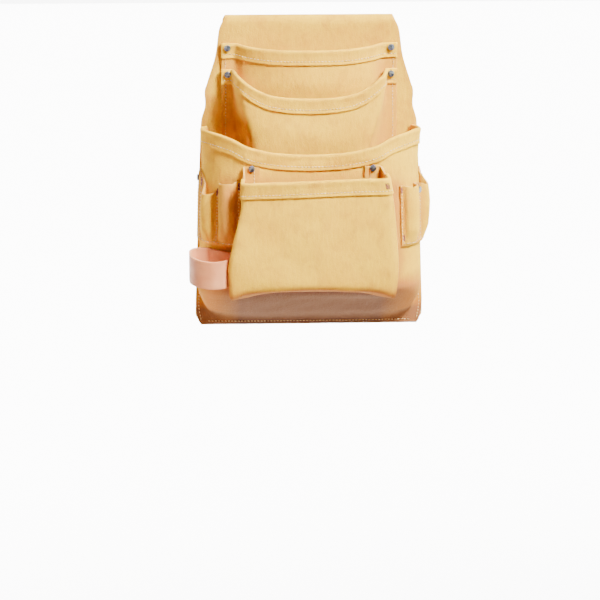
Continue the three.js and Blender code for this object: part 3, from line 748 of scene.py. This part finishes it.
def pocket_wall(name, surface, painted_shade):
    wall = below_hem(surface)
    piece = leather_sheet(f"{name}_leather", wall, POCKET_SUEDE, painted_shade=painted_shade[-len(wall):])
    finish_piece(piece, "suede_pocket", name)


def pocket_hem(name, surface, hem, seed, first=0, last=None):
    band = hem_rows(surface, hem, seed, first, last)
    finish_piece(leather_sheet(f"{name}_hem", band, POCKET_SUEDE, HEM_LEATHER), "suede_pocket")


def model_stitch():
    """One stitch: a short length of thread that dips into the leather at both ends."""
    bpy.ops.object.select_all(action="DESELECT")
    bpy.ops.mesh.primitive_cylinder_add(
        vertices=THREAD_SIDES, radius=THREAD_RADIUS * MM, depth=STITCH_LENGTH * STITCH_FLAT * MM,
        rotation=(0, math.pi / 2, 0), calc_uvs=False,
    )
    stitch = bpy.context.active_object
    bpy.ops.object.transform_apply(location=True, rotation=True, scale=True)
    select_faces(stitch, lambda face: abs(face.normal.x) > FACING)
    bpy.ops.mesh.extrude_region_move()
    bpy.ops.transform.resize(
        value=(1 / STITCH_FLAT, STITCH_TAPER, STITCH_TAPER), center_override=(0, 0, 0),
    )
    bpy.ops.transform.translate(value=(0, 0, -STITCH_DIP * THREAD_RADIUS * MM))
    bpy.ops.object.mode_set(mode="OBJECT")
    bpy.ops.object.shade_smooth()
    return stitch


def select_faces(piece, wanted):
    """Enters edit mode with only the wanted faces selected."""
    only(piece)
    bpy.ops.object.mode_set(mode="EDIT")
    bpy.ops.mesh.select_all(action="DESELECT")
    bpy.ops.mesh.select_mode(type="FACE")
    bpy.ops.object.mode_set(mode="OBJECT")
    for face in piece.data.polygons:
        face.select = wanted(face)
    bpy.ops.object.mode_set(mode="EDIT")


STITCH = model_stitch()


def along(field, lengths, at):
    return np.array([np.interp(at, lengths, column) for column in field.T])


def sew(name, lines, thread=THREAD, pitch=STITCH_PITCH):
    """Copies the stitch along lines of (points, outward normals) and joins the copies."""
    copies = []
    for points, outs in lines:
        points = np.array(points)
        outs = np.array(outs)
        lengths = knots_of(np.linalg.norm(np.diff(points, axis=0), axis=1))
        count = max(1, int(lengths[-1] / pitch))
        for place in (np.arange(count) + 0.5) * lengths[-1] / count:
            spot = along(points, lengths, place)
            ahead = along(points, lengths, place + STITCH_AIM_REACH)
            behind = along(points, lengths, place - STITCH_AIM_REACH)
            forward = Vector(ahead - behind).normalized()
            up = Vector(along(outs, lengths, place)).normalized()
            side = up.cross(forward).normalized()
            up = forward.cross(side)
            turn = Matrix((forward, side, up)).transposed().to_4x4()
            copy = STITCH.copy()
            copy.data = STITCH.data.copy()
            copy.data.transform(Matrix.Translation(Vector(spot) * MM) @ turn)
            bpy.context.collection.objects.link(copy)
            copies.append(copy)
    bpy.ops.object.select_all(action="DESELECT")
    for copy in copies:
        copy.select_set(True)
    bpy.context.view_layer.objects.active = copies[0]
    bpy.ops.object.join()
    row = bpy.context.active_object
    row.name = name
    row.data.name = name
    row.data.materials.clear()
    row.data.materials.append(thread)
    finish_piece(row, "suede_pocket")


def line_across(surface, v, lift, ends=SEAM_ENDS):
    """A line across the surface at length v down, a distance off its middle."""
    places = np.linspace(*ends, LINE_POINTS) * surface.across[-1]
    found = [surface.at(u, v) for u in places]
    return [p + n * lift for p, n in found], [n for _, n in found]


def hem_seam(surface, hem, seed, ends=HEM_SEAM_ENDS):
    """The hem's line of stitches, on the hem's outer face just above its raw edge."""
    points, outs = [], []
    hem = hem + HEM_LAP
    v = hem - STITCH_INSET
    for u in np.linspace(*ends, HEM_LINE_POINTS) * surface.across[-1]:
        point, out = surface.at(u, v)
        gap = hem_gap(v - LEATHER, u, hem - LEATHER, seed)
        points.append(point + out * (gap + HEM_LEATHER / 2))
        outs.append(out)
    return points, outs


def bartack(name, surface, places, lift):
    """Short bars of close dark stitches that hold a corner, each 6 mm long at (u, v)."""
    lines = []
    for u, v in places:
        for beside in BARTACK_ROWS:
            lines.append(line_down(surface, u + beside, lift, v - BARTACK_HALF, v + BARTACK_HALF))
    sew(name, lines, BARTACK_THREAD, BARTACK_PITCH)


def line_down(surface, u, lift, top, bottom):
    """A line down the surface at length u across, a distance off its middle."""
    found = [surface.at(u, v) for v in np.linspace(top, bottom, LINE_POINTS)]
    return [p + n * lift for p, n in found], [n for _, n in found]


# Back panel

def panel_half(z):
    share = np.clip(np.array([(PANEL_TOP - z) / PANEL_HEIGHT]), 0, 1)
    return float(eased(PANEL_OUTLINE[:, 1:], PANEL_OUTLINE[:, 0], share)[0, 0]) * PANEL_HALF


def back_panel():
    fold_centre = PANEL_TOP - PANEL_MIDDLE_Y - LEATHER / 2
    stations = []
    for z in np.linspace(PANEL_BOTTOM, fold_centre, PANEL_ROWS)[:-1]:
        stations.append((-PANEL_MIDDLE_Y, z, panel_half(z)))
    for angle in np.linspace(0, math.pi, FOLD_ROWS):
        z = fold_centre + PANEL_MIDDLE_Y * math.sin(angle)
        stations.append((-PANEL_MIDDLE_Y * math.cos(angle), z, panel_half(z)))
    tuck_top = -TUNNEL_HEIGHT / 2
    seam_y = -TUNNEL_DEPTH / 2 + SEAT + LEATHER / 2
    flap_half = panel_half(PANEL_TOP)
    for z in np.linspace(fold_centre, tuck_top, FLAP_ROWS)[1:]:
        stations.append((PANEL_MIDDLE_Y, z, flap_half))
    for share in TUCK_SHARES:
        turn = share * share * (3 - 2 * share)
        y = mix(PANEL_MIDDLE_Y, seam_y, turn)
        stations.append((y, tuck_top - share * TUNNEL_TUCK, flap_half))
    stations.append((seam_y, tuck_top - TUNNEL_TUCK - TUNNEL_SEAM, flap_half))
    # the flap's edges run straight, so its rows carry the same shares as the leaf's
    shares = np.linspace(1, -1, PANEL_COLUMNS)
    control = [[(half * share, y, z) for share in shares] for y, z, half in stations]
    surface = Surface(control, COARSE)

    def free(point):
        if point[1] < 0:
            return ramp(point[2], *PANEL_FREE_ABOVE)
        behind = point[1] > PANEL_BEHIND_Y
        return behind * PANEL_BEHIND_SHARE * ramp(point[2], *PANEL_FREE_BEHIND)

    worn(surface, PANEL_SEED, free, PANEL_WEAR)
    # painted shade: orange along the side edges, and darker towards the bottom
    edge = np.abs(np.linspace(-1, 1, surface.grid.shape[1]))
    low = ramp(-surface.grid[..., 2], *PANEL_LOW_SHADE)
    painted_shade = np.maximum(ramp(edge, *PANEL_EDGE_SHADE), low)
    piece = leather_sheet("back_panel_leather", surface.grid, PANEL_SUEDE_SHADED, painted_shade=painted_shade)
    finish_piece(piece, "suede_panel", "back_panel")
    seam_v = surface.down[-1] - TUNNEL_SEAM_INSET
    places = (seam_v, seam_v - TUNNEL_SEAM_GAP)
    rows = [line_across(surface, v, TUNNEL_SEAM_LIFT) for v in places]
    sew("tunnel_seam_thread", rows)


# Pockets sewn to the panel

def sewn_surface(section, levels, top, height, depth, dip, hem, fold, carrier_y):
    flange_y = carrier_y - SEAT - LEATHER / 2
    wall_depth = depth - SEAT - LEATHER
    control = []
    rows = [(0, *FULL), (hem / height, *FULL), *levels]
    for down, dip_left, width, deep, open_share in rows:
        flange_z = top - height * down
        row = [(-UPPER_EDGE, flange_y, flange_z), (-fold, flange_y, flange_z)]
        for side, across, flat, deep_share, dip_share in both_sides(section):
            x = mix(fold * flat, fold * across * width, open_share) * side
            z = flange_z - dip * dip_share * dip_left
            row.append((x, flange_y - wall_depth * deep_share * deep, z))
        row += [(fold, flange_y, flange_z), (UPPER_EDGE, flange_y, flange_z)]
        control.append(row)
    surface = Surface(control, FINE)
    return surface, flange_y


def seam_shade(surface, flange_y, strength=SEAM_SHADE):
    """Painted shade in the fold where a pocket leaves its flange."""
    height = flange_y - surface.grid[..., 1]
    return strength * np.exp(-((height - SEAM_SHADE_HEIGHT) / SEAM_SHADE_REACH) ** 2)


def gap_shade(surface):
    """Painted shade in the gaps beside the front pocket."""
    off = np.maximum(np.abs(surface.grid[..., 0]) - FRONT_CREASE, 0) / GAP_SHADE_REACH
    below = ramp(FRONT_TOP - surface.grid[..., 2], *GAP_SHADE_FALL)
    return GAP_SHADE * np.exp(-off ** 2) * below


def flange_seams(surface, inset, top, bottom):
    """Thread down both flanges, set in from their edges."""
    full = surface.across[-1]
    lift = LEATHER / 2
    return [
        line_down(surface, inset, lift, top, bottom),
        line_down(surface, full - inset, lift, top, bottom),
    ]


def sewn_pocket(name, surface, flange_y, hem, seed, wear):
    depth = flange_y - surface.grid[..., 1].min()

    def free(point):
        return ramp(flange_y - point[1], SEWN_FREE_START, SEWN_FREE_SHARE * depth)

    worn(surface, seed, free, wear)
    pocket_wall(name, surface, seam_shade(surface, flange_y))
    pocket_hem(name, surface, hem, seed)
    rows = [hem_seam(surface, hem, seed)]
    bottom = surface.v[-1] - SEWN_SEAM_END
    rows += flange_seams(surface, STITCH_INSET, hem + SEAM_BELOW_HEM, bottom)
    sew(f"{name}_thread", rows)


def upper_pocket():
    surface, flange_y = sewn_surface(
        UPPER_SECTION, UPPER_LEVELS, UPPER_TOP, UPPER_HEIGHT, UPPER_DEPTH, UPPER_DIP, UPPER_HEM,
        UPPER_FOLD, PANEL_FRONT_Y,
    )
    sewn_pocket("upper_pocket", surface, flange_y, UPPER_HEM, UPPER_SEED, UPPER_WEAR)


def middle_pocket():
    surface, flange_y = sewn_surface(
        MIDDLE_SECTION, MIDDLE_LEVELS, MIDDLE_TOP, MIDDLE_HEIGHT, MIDDLE_DEPTH, MIDDLE_DIP,
        MIDDLE_HEM, MIDDLE_FOLD, UPPER_FLANGE_Y,
    )
    sewn_pocket("middle_pocket", surface, flange_y, MIDDLE_HEM, MIDDLE_SEED, MIDDLE_WEAR)


# Main pocket

def main_control():
    control = []
    flange_depth = SEAT + LEATHER / 2
    wall_depth = MAIN_DEPTH - SEAT - LEATHER
    height = MAIN_TOP - MAIN_BOTTOM
    columns = both_sides(MAIN_SECTION)
    last = len(columns) - 1
    rows = [(0, *FULL), (MAIN_HEM / height, *FULL), *MAIN_LEVELS]
    for down, dip_left, _, deep, open_share in rows:
        row = []
        # the lip is pressed onto the panel all the way along, so no light comes through
        press = SEAT + MAIN_PRESS if down > MAIN_LIP else 0
        for i, (side, across, flat, deep_share, dip_share) in enumerate(columns):
            z = MAIN_TOP - height * down - MAIN_DIP * dip_share * dip_left
            spread_share = np.clip((MAIN_TOP - z) / height, 0, 1)
            half = MAIN_HALF * mix(1, MAIN_SPREAD, spread_share)
            edge = panel_half(z)
            place = min(i, last - i)
            if place < 2:
                x = edge - MAIN_FLANGE * place
            else:
                x = mix((edge - MAIN_FLANGE) * flat, half * across, open_share)
            y = PANEL_FRONT_Y - flange_depth + press - wall_depth * deep_share * deep
            row.append((side * x, y, z))
        control.append(row)
    return control


def main_pocket():
    surface = Surface(main_control(), FINE)
    flange_y = PANEL_FRONT_Y - SEAT - LEATHER / 2

    def free(point):
        beside = ramp(abs(point[0]), *MAIN_FREE_BESIDE)
        above = ramp(point[2], *MAIN_FREE_ABOVE)
        below = ramp(-point[2], *MAIN_FREE_BELOW)
        return ramp(flange_y - point[1], *MAIN_FREE_OFF) * max(beside, above, below)

    worn(surface, MAIN_SEED, free, MAIN_WEAR)
    x, _, z = np.moveaxis(surface.grid, 2, 0)
    # painted shade: under the front pocket, less towards the sides, on the lip at the bottom, in
    # the flanges' fold and in the gaps beside the front pocket
    under = ramp(-z, *UNDER_SHADE) * mix(1, UNDER_EDGE_SHARE, ramp(np.abs(x), *UNDER_EDGE))
    lip = ramp(-z, *LIP_SHADE)
    painted_shade = np.maximum(seam_shade(surface, flange_y, MAIN_SEAM_SHADE), gap_shade(surface))
    painted_shade = np.maximum(painted_shade, np.maximum(under, lip))
    pocket_wall("main_pocket", surface, painted_shade)
    pocket_hem("main_pocket", surface, MAIN_HEM, MAIN_SEED)
    bottom = surface.v[-1]
    rows = [hem_seam(surface, MAIN_HEM, MAIN_SEED)]
    rows += flange_seams(
        surface, MAIN_SEAM_INSET, MAIN_HEM + SEAM_BELOW_HEM, bottom - MAIN_SEAM_END,
    )
    rows.append(line_across(surface, bottom - MAIN_BOTTOM_SEAM, LEATHER / 2, MAIN_BOTTOM_ENDS))
    sew("main_pocket_thread", rows)
    return surface


def on_main(surface, place, z, side, clear):
    """Point on the main wall's outer face and its normal, a distance outside it.

    The place counts the section's columns from the seam on the given side.
    """
    columns = len(surface.across)
    place = place if side < 0 else columns - 1 - place
    u = np.interp(place, np.arange(columns), surface.across)
    i = np.interp(u, surface.u, np.arange(len(surface.u)))
    i0 = int(i)
    i1 = min(i0 + 1, len(surface.u) - 1)
    heights = mix(surface.grid[:, i0, 2], surface.grid[:, i1, 2], i - i0)
    v = np.interp(-z, -heights, surface.v)
    point, out = surface.at(u, v)
    flat_out = np.array([out[0], out[1], 0])
    flat_out /= np.linalg.norm(flat_out)
    return point + flat_out * (LEATHER / 2 + clear), flat_out


# Front pocket

def front_pocket():
    flange_y = MAIN_FACE_Y - SEAT - LEATHER / 2
    wall_depth = FRONT_DEPTH - SEAT - LEATHER
    gusset = [(share, True, *rest) for share, *rest in FRONT_GUSSET]
    face = [(share, False, *rest) for share, *rest in FRONT_FACE]
    control = []
    for level in (FRONT_MOUTH, *FRONT_LEVELS):
        down, dip_left, crease_share, fold_share, deep, open_share, ear_left, lean_left = level
        flange_z = FRONT_TOP - FRONT_HEIGHT * down
        fold = FRONT_FOLD * fold_share
        crease = FRONT_CREASE * crease_share
        tuck_z = flange_z + FRONT_TUCK * (1 - open_share)
        row = [(-fold + FRONT_FLANGE, flange_y, tuck_z), (-fold, flange_y, tuck_z)]
        for side, share, is_gusset, flat, deep_share, dip_share, ear in both_sides(gusset + face):
            open_x = mix(fold, crease, share) if is_gusset else crease * share
            x = mix(fold * flat, open_x, open_share) * side + FRONT_LEAN * lean_left * deep_share
            sag = FRONT_DIP * dip_share * dip_left + FRONT_EAR * ear * ear_left
            tilt = FRONT_TILT * dip_left * x / FRONT_CREASE
            y = flange_y - wall_depth * deep_share * deep
            row.append((x, y, flange_z - sag + tilt))
        row += [(fold, flange_y, tuck_z), (fold - FRONT_FLANGE, flange_y, tuck_z)]
        control.append(row)
    surface = Surface(control, FINE)

    def free(point):
        return ramp(flange_y - point[1], *FRONT_FREE)

    worn(surface, FRONT_SEED, free, FRONT_WEAR, eased_times=0)
    # painted shade on the lower part, where the pocket recedes towards the main wall, and in the
    # flanges' fold
    receded = 1 - (flange_y - surface.grid[..., 1]) / wall_depth
    low = ramp(receded, *EAR_SHADE) * (surface.grid[..., 2] < EAR_SHADE_Z)
    painted_shade = np.maximum(seam_shade(surface, flange_y), low)
    pocket_wall("front_pocket", surface, painted_shade)
    first = int(np.searchsorted(surface.u, surface.across[2] + FRONT_HEM_START))
    pocket_hem("front_pocket", surface, FRONT_HEM, FRONT_SEED, first, -first)
    low_share = surface.u[first] / surface.u[-1] + FRONT_HEM_SEAM_START
    rows = [hem_seam(surface, FRONT_HEM, FRONT_SEED, (low_share, 1 - low_share))]
    full = surface.across[-1]
    bottom = surface.v[-1] * FRONT_SEAM_SHARE
    # the flanges are turned in, so their stitches show on the sheet's other face
    for u in (FRONT_SEAM_INSET, full - FRONT_SEAM_INSET):
        points, outs = line_down(surface, u, -LEATHER / 2, FRONT_SEAM_TOP, bottom)
        rows.append((points, [-out for out in outs]))
    sew("front_pocket_thread", rows)
    corner = full - surface.across[3] - FRONT_BARTACK_INSET
    lift = LEATHER / 2 + HEM_LEATHER + FRONT_BARTACK_CLEAR
    bartack("front_pocket_bartack", surface, [(corner, FRONT_BARTACK_DROP)], lift)


# Side patches

def tool_pockets(name, main, table, side, top, height):
    columns = table[::-1] if side < 0 else table
    control = []
    for down, lift_left, fall_left in PATCH_LEVELS:
        row = []
        for place, lift, fall in columns:
            z = top - fall * fall_left - height * down
            clear = SEAT + LEATHER / 2 + lift * lift_left
            row.append(on_main(main, place, z, side, clear)[0])
        control.append(row)
    surface = Surface(control, PATCH_SPACING).settle()
    lifts = np.array([lift for _, lift, _ in columns], float)
    lift_at = np.interp(surface.u, surface.across, lifts)
    # painted shade on the strips that lie flat between the tubes, and in the gap beside the front
    # pocket
    flat = PATCH_SHADE * np.exp(-(lift_at / PATCH_SHADE_REACH) ** 2)
    painted_shade = np.maximum(flat, gap_shade(surface))
    piece = leather_sheet(f"{name}_leather", surface.grid, POCKET_SUEDE, painted_shade=painted_shade)
    finish_piece(piece, "suede_pocket", name)
    bottom = surface.v[-1]
    rows = [line_across(surface, bottom - PATCH_BOTTOM_SEAM, LEATHER / 2)]
    # a seam runs down the middle of each strip that lies flat on the wall
    seams = [
        (surface.across[k] + surface.across[k + 1]) / 2
        for k in range(len(lifts) - 1) if lifts[k] == 0 and lifts[k + 1] == 0
    ]
    for u in seams:
        rows.append(line_down(surface, u, LEATHER / 2, PATCH_SEAM_INSET, bottom - PATCH_SEAM_INSET))
    sew(f"{name}_thread", rows)
    inset, rise = PATCH_CORNER
    corner = (surface.u[-1] - inset if side < 0 else inset, bottom - rise)
    places = [(u, PATCH_BARTACK_DROP) for u in seams] + [corner]
    bartack(f"{name}_bartacks", surface, places, LEATHER / 2)


# Handle loop

def loop_height(y):
    return LOOP_MIDDLE + LOOP_RISE * (y - (MAIN_FACE_Y - LOOP_REACH))


def handle_loop(main):
    first = SEAT + STRAP / 2
    second = first + STRAP + SEAT
    start = on_main(main, LOOP_RIVET_PLACE, LOOP_MIDDLE, -1, first)[0]
    route = [on_main(main, place, LOOP_MIDDLE, -1, first)[0] for place in LOOP_INNER_PLACES]
    for out, ahead in LOOP_SLACK:
        route.append(np.array([start[0] - out * LOOP_SWING, MAIN_FACE_Y - ahead * LOOP_REACH, 0]))
    route += [on_main(main, place, LOOP_MIDDLE, -1, second)[0] for place in LOOP_OUTER_PLACES]
    control = [
        [(point[0], point[1], loop_height(point[1]) + share * LOOP_HEIGHT) for point in route]
        for share in np.linspace(0.5, -0.5, LOOP_ROWS)
    ]
    surface = Surface(control, LOOP_SPACING)
    piece = leather_sheet(
        "handle_loop_strap", surface.grid, STRAP_LEATHER, STRAP - STRAP_SLACK, edge=STRAP_LEATHER,
    )
    finish_piece(piece, "tanned_strap", "handle_loop")


# Rivets

def model_rivet(name, grip):
    """Cap with a pressed ring, shank and burr, one closed turning along Z."""
    bpy.ops.object.select_all(action="DESELECT")
    bpy.ops.mesh.primitive_cylinder_add(
        vertices=CAP_SIDES, radius=CAP_RADIUS * MM, depth=CAP_HEIGHT * MM,
        location=(0, 0, (SEAT + CAP_HEIGHT / 2) * MM), calc_uvs=False,
    )
    rivet = bpy.context.active_object
    rivet.name = name
    rivet.data.name = name
    bpy.ops.object.transform_apply(location=True, rotation=True, scale=True)
    select_faces(rivet, lambda face: face.normal.z > FACING)
    for inset, rise in CAP_STEPS:
        bpy.ops.mesh.inset(thickness=inset * MM)
        bpy.ops.transform.translate(value=(0, 0, rise * MM))
    bpy.ops.object.mode_set(mode="OBJECT")
    select_faces(rivet, lambda face: face.normal.z < -FACING)
    bpy.ops.mesh.inset(thickness=(CAP_RADIUS - SHANK_RADIUS) * MM)
    shank = (0, 0, -(grip + 2 * SEAT) * MM)
    bpy.ops.mesh.extrude_region_move(TRANSFORM_OT_translate={"value": shank})
    bpy.ops.mesh.extrude_region_move()
    wide = BURR_RADIUS / SHANK_RADIUS
    bpy.ops.transform.resize(value=(wide, wide, 1))
    burr = (0, 0, -BURR_THICKNESS * MM)
    bpy.ops.mesh.extrude_region_move(TRANSFORM_OT_translate={"value": burr})
    bpy.ops.object.mode_set(mode="OBJECT")
    only(rivet)
    apply_modifier(
        rivet, "BEVEL", width=CAP_ROUND * MM, segments=2, limit_method="ANGLE",
        angle_limit=CAP_ANGLE,
    )
    bpy.ops.object.shade_smooth_by_angle(angle=CAP_ANGLE)
    rivet.data.materials.append(STEEL)
    return rivet


def set_rivet(node, at, out, grip):
    rivet = model_rivet(f"{node}_cap", grip)
    turn = Vector((0, 0, 1)).rotation_difference(Vector(out)).to_matrix().to_4x4()
    rivet.data.transform(Matrix.Translation(Vector(at) * MM) @ turn)
    finish_piece(rivet, "rivet_steel", node)


def rivets(main):
    edge_x = UPPER_EDGE - UPPER_RIVET_INSET
    middle_y = UPPER_FLANGE_Y - SEAT - 2 * LEATHER
    pair = 2 * LEATHER + SEAT
    # distance from the middle, y and z of each, and the leather that it grips
    faced = [
        ("upper", edge_x, UPPER_FLANGE_Y - LEATHER, UPPER_TOP - UPPER_RIVET_DROP, pair + LEATHER),
        ("middle", edge_x, middle_y, MIDDLE_TOP - MIDDLE_RIVET_DROP, 2 * pair),
        ("tunnel", UPPER_EDGE - TUNNEL_RIVET_INSET, PANEL_FRONT_Y, TUNNEL_RIVET_Z, pair),
        ("front", FRONT_FOLD - FRONT_RIVET_INSET, MAIN_FACE_Y - SEAT - LEATHER,
         FRONT_TOP - FRONT_RIVET_DROP, pair),
    ]
    for side, word in ((-1, "left"), (1, "right")):
        for place, x, y, z, grip in faced:
            set_rivet(f"{place}_rivet_{word}", (side * x, y, z), (0, -1, 0), grip)
    for node, place, side, z in SIDE_RIVETS:
        at, normal = on_main(main, place, z, side, SEAT + LEATHER)
        set_rivet(node, at, normal, pair)
    stack = 2 * (SEAT + STRAP)
    loop_y = on_main(main, LOOP_RIVET_PLACE, LOOP_MIDDLE, -1, 0)[0][1]
    for node, share in (("loop_rivet_upper", 0.5), ("loop_rivet_lower", -0.5)):
        z = loop_height(loop_y) + share * LOOP_RIVET_GAP
        at, normal = on_main(main, LOOP_RIVET_PLACE, z, -1, stack)
        set_rivet(node, at, normal, stack + LEATHER)


# Studio

def softbox(name, place, aim, size, power, beam, colour=WHITE):
    """A rectangular area light whose beam is kept to a cone of the given degrees."""
    lamp = bpy.data.lights.new(name, "AREA")
    lamp.color = colour
    lamp.shape = "RECTANGLE"
    lamp.size, lamp.size_y = size
    lamp.energy = power
    lamp.spread = math.radians(beam)
    holder = bpy.data.objects.new(name, lamp)
    holder.location = place
    holder.rotation_euler = (Vector(aim) - Vector(place)).to_track_quat("-Z", "Y").to_euler()
    bpy.context.collection.objects.link(holder)


def studio():
    """White paper well below the hanging apron, its lamps, and a white backdrop.

    The backdrop is for the camera and for gloss. All else sees a dim warm room.
    """
    bpy.ops.object.select_all(action="DESELECT")
    bpy.ops.mesh.primitive_plane_add(size=FLOOR_SIZE, location=(0, 0, FLOOR_Z))
    floor = bpy.context.active_object
    floor.name = "floor"
    paper, tree, shader, place = new_finish("white_paper_floor", {"Roughness": 0.9})
    # faint clouds, a third of a metre wide
    cloud = add_node(tree, "ShaderNodeTexNoise", None, {"Vector": place, "Scale": 3.0})
    tone = stain(tree, srgb(0xFAFAF9), cloud.outputs["Fac"], 0, 1, 0xFDFDFC)
    tree.links.new(tone, shader.inputs["Base Color"])
    floor.data.materials.append(paper)

    world = bpy.data.worlds.new("studio_white")
    bpy.context.scene.world = world
    world.use_nodes = True
    tree = world.node_tree
    path = add_node(tree, "ShaderNodeLightPath")
    mirrored = add_node(tree, "ShaderNodeMath", {"operation": "MULTIPLY"}, {
        0: path.outputs["Is Glossy Ray"], 1: MIRRORED_STRENGTH,
    }).outputs["Value"]
    bright = add_node(tree, "ShaderNodeMath", {"operation": "MULTIPLY_ADD"}, {
        0: path.outputs["Is Camera Ray"], 1: BACKDROP_STRENGTH, 2: mirrored,
    }).outputs["Value"]
    backdrop = add_node(tree, "ShaderNodeBackground", None, {
        "Color": (1, 1, 1, 1), "Strength": bright,
    })
    dim = tree.nodes["Background"]
    dim.inputs["Color"].default_value = DIM_WARM
    dim.inputs["Strength"].default_value = DIM_STRENGTH
    shown = add_node(tree, "ShaderNodeAddShader", None, {
        0: dim.outputs["Background"], 1: backdrop.outputs["Background"],
    })
    tree.links.new(shown.outputs["Shader"], tree.nodes["World Output"].inputs["Surface"])

    for lamp in LAMPS:
        softbox(*lamp)
    for quarter, (name, power, size) in enumerate(PAPER_LAMPS):
        turn = math.pi / 2 * quarter
        x = -PAPER_LAMP_OUT * math.sin(turn)
        y = PAPER_LAMP_OUT * math.cos(turn)
        place = (x, y, PAPER_LAMP_Z)
        softbox(f"paper_light_{name}", place, (x, y, FLOOR_Z), size, power, PAPER_BEAM)


def camera():
    """The photo's view: 15 degrees above the front, 2.5 degrees to the left, long lens."""
    aim = Vector(CAMERA_AIM) * MM
    turn = math.radians(CAMERA_TURN)
    tilt = math.radians(CAMERA_TILT)
    away = Vector((
        math.sin(turn) * math.cos(tilt), -math.cos(turn) * math.cos(tilt), math.sin(tilt),
    ))
    data = bpy.data.cameras.new("camera")
    data.sensor_width = CAMERA_SENSOR
    data.lens = CAMERA_LENS
    view = bpy.data.objects.new("camera", data)
    view.location = aim + away * CAMERA_AWAY
    view.rotation_euler = (-away).to_track_quat("-Z", "Y").to_euler()
    bpy.context.collection.objects.link(view)
    bpy.context.scene.camera = view


camera()
studio()
back_panel()
upper_pocket()
middle_pocket()
MAIN = main_pocket()
front_pocket()
tool_pockets("left_tool_pockets", MAIN, LEFT_PATCH, -1, LEFT_PATCH_TOP, LEFT_PATCH_HEIGHT)
tool_pockets("right_tool_pockets", MAIN, RIGHT_PATCH, 1, RIGHT_PATCH_TOP, RIGHT_PATCH_HEIGHT)
handle_loop(MAIN)
rivets(MAIN)
bpy.data.objects.remove(STITCH)
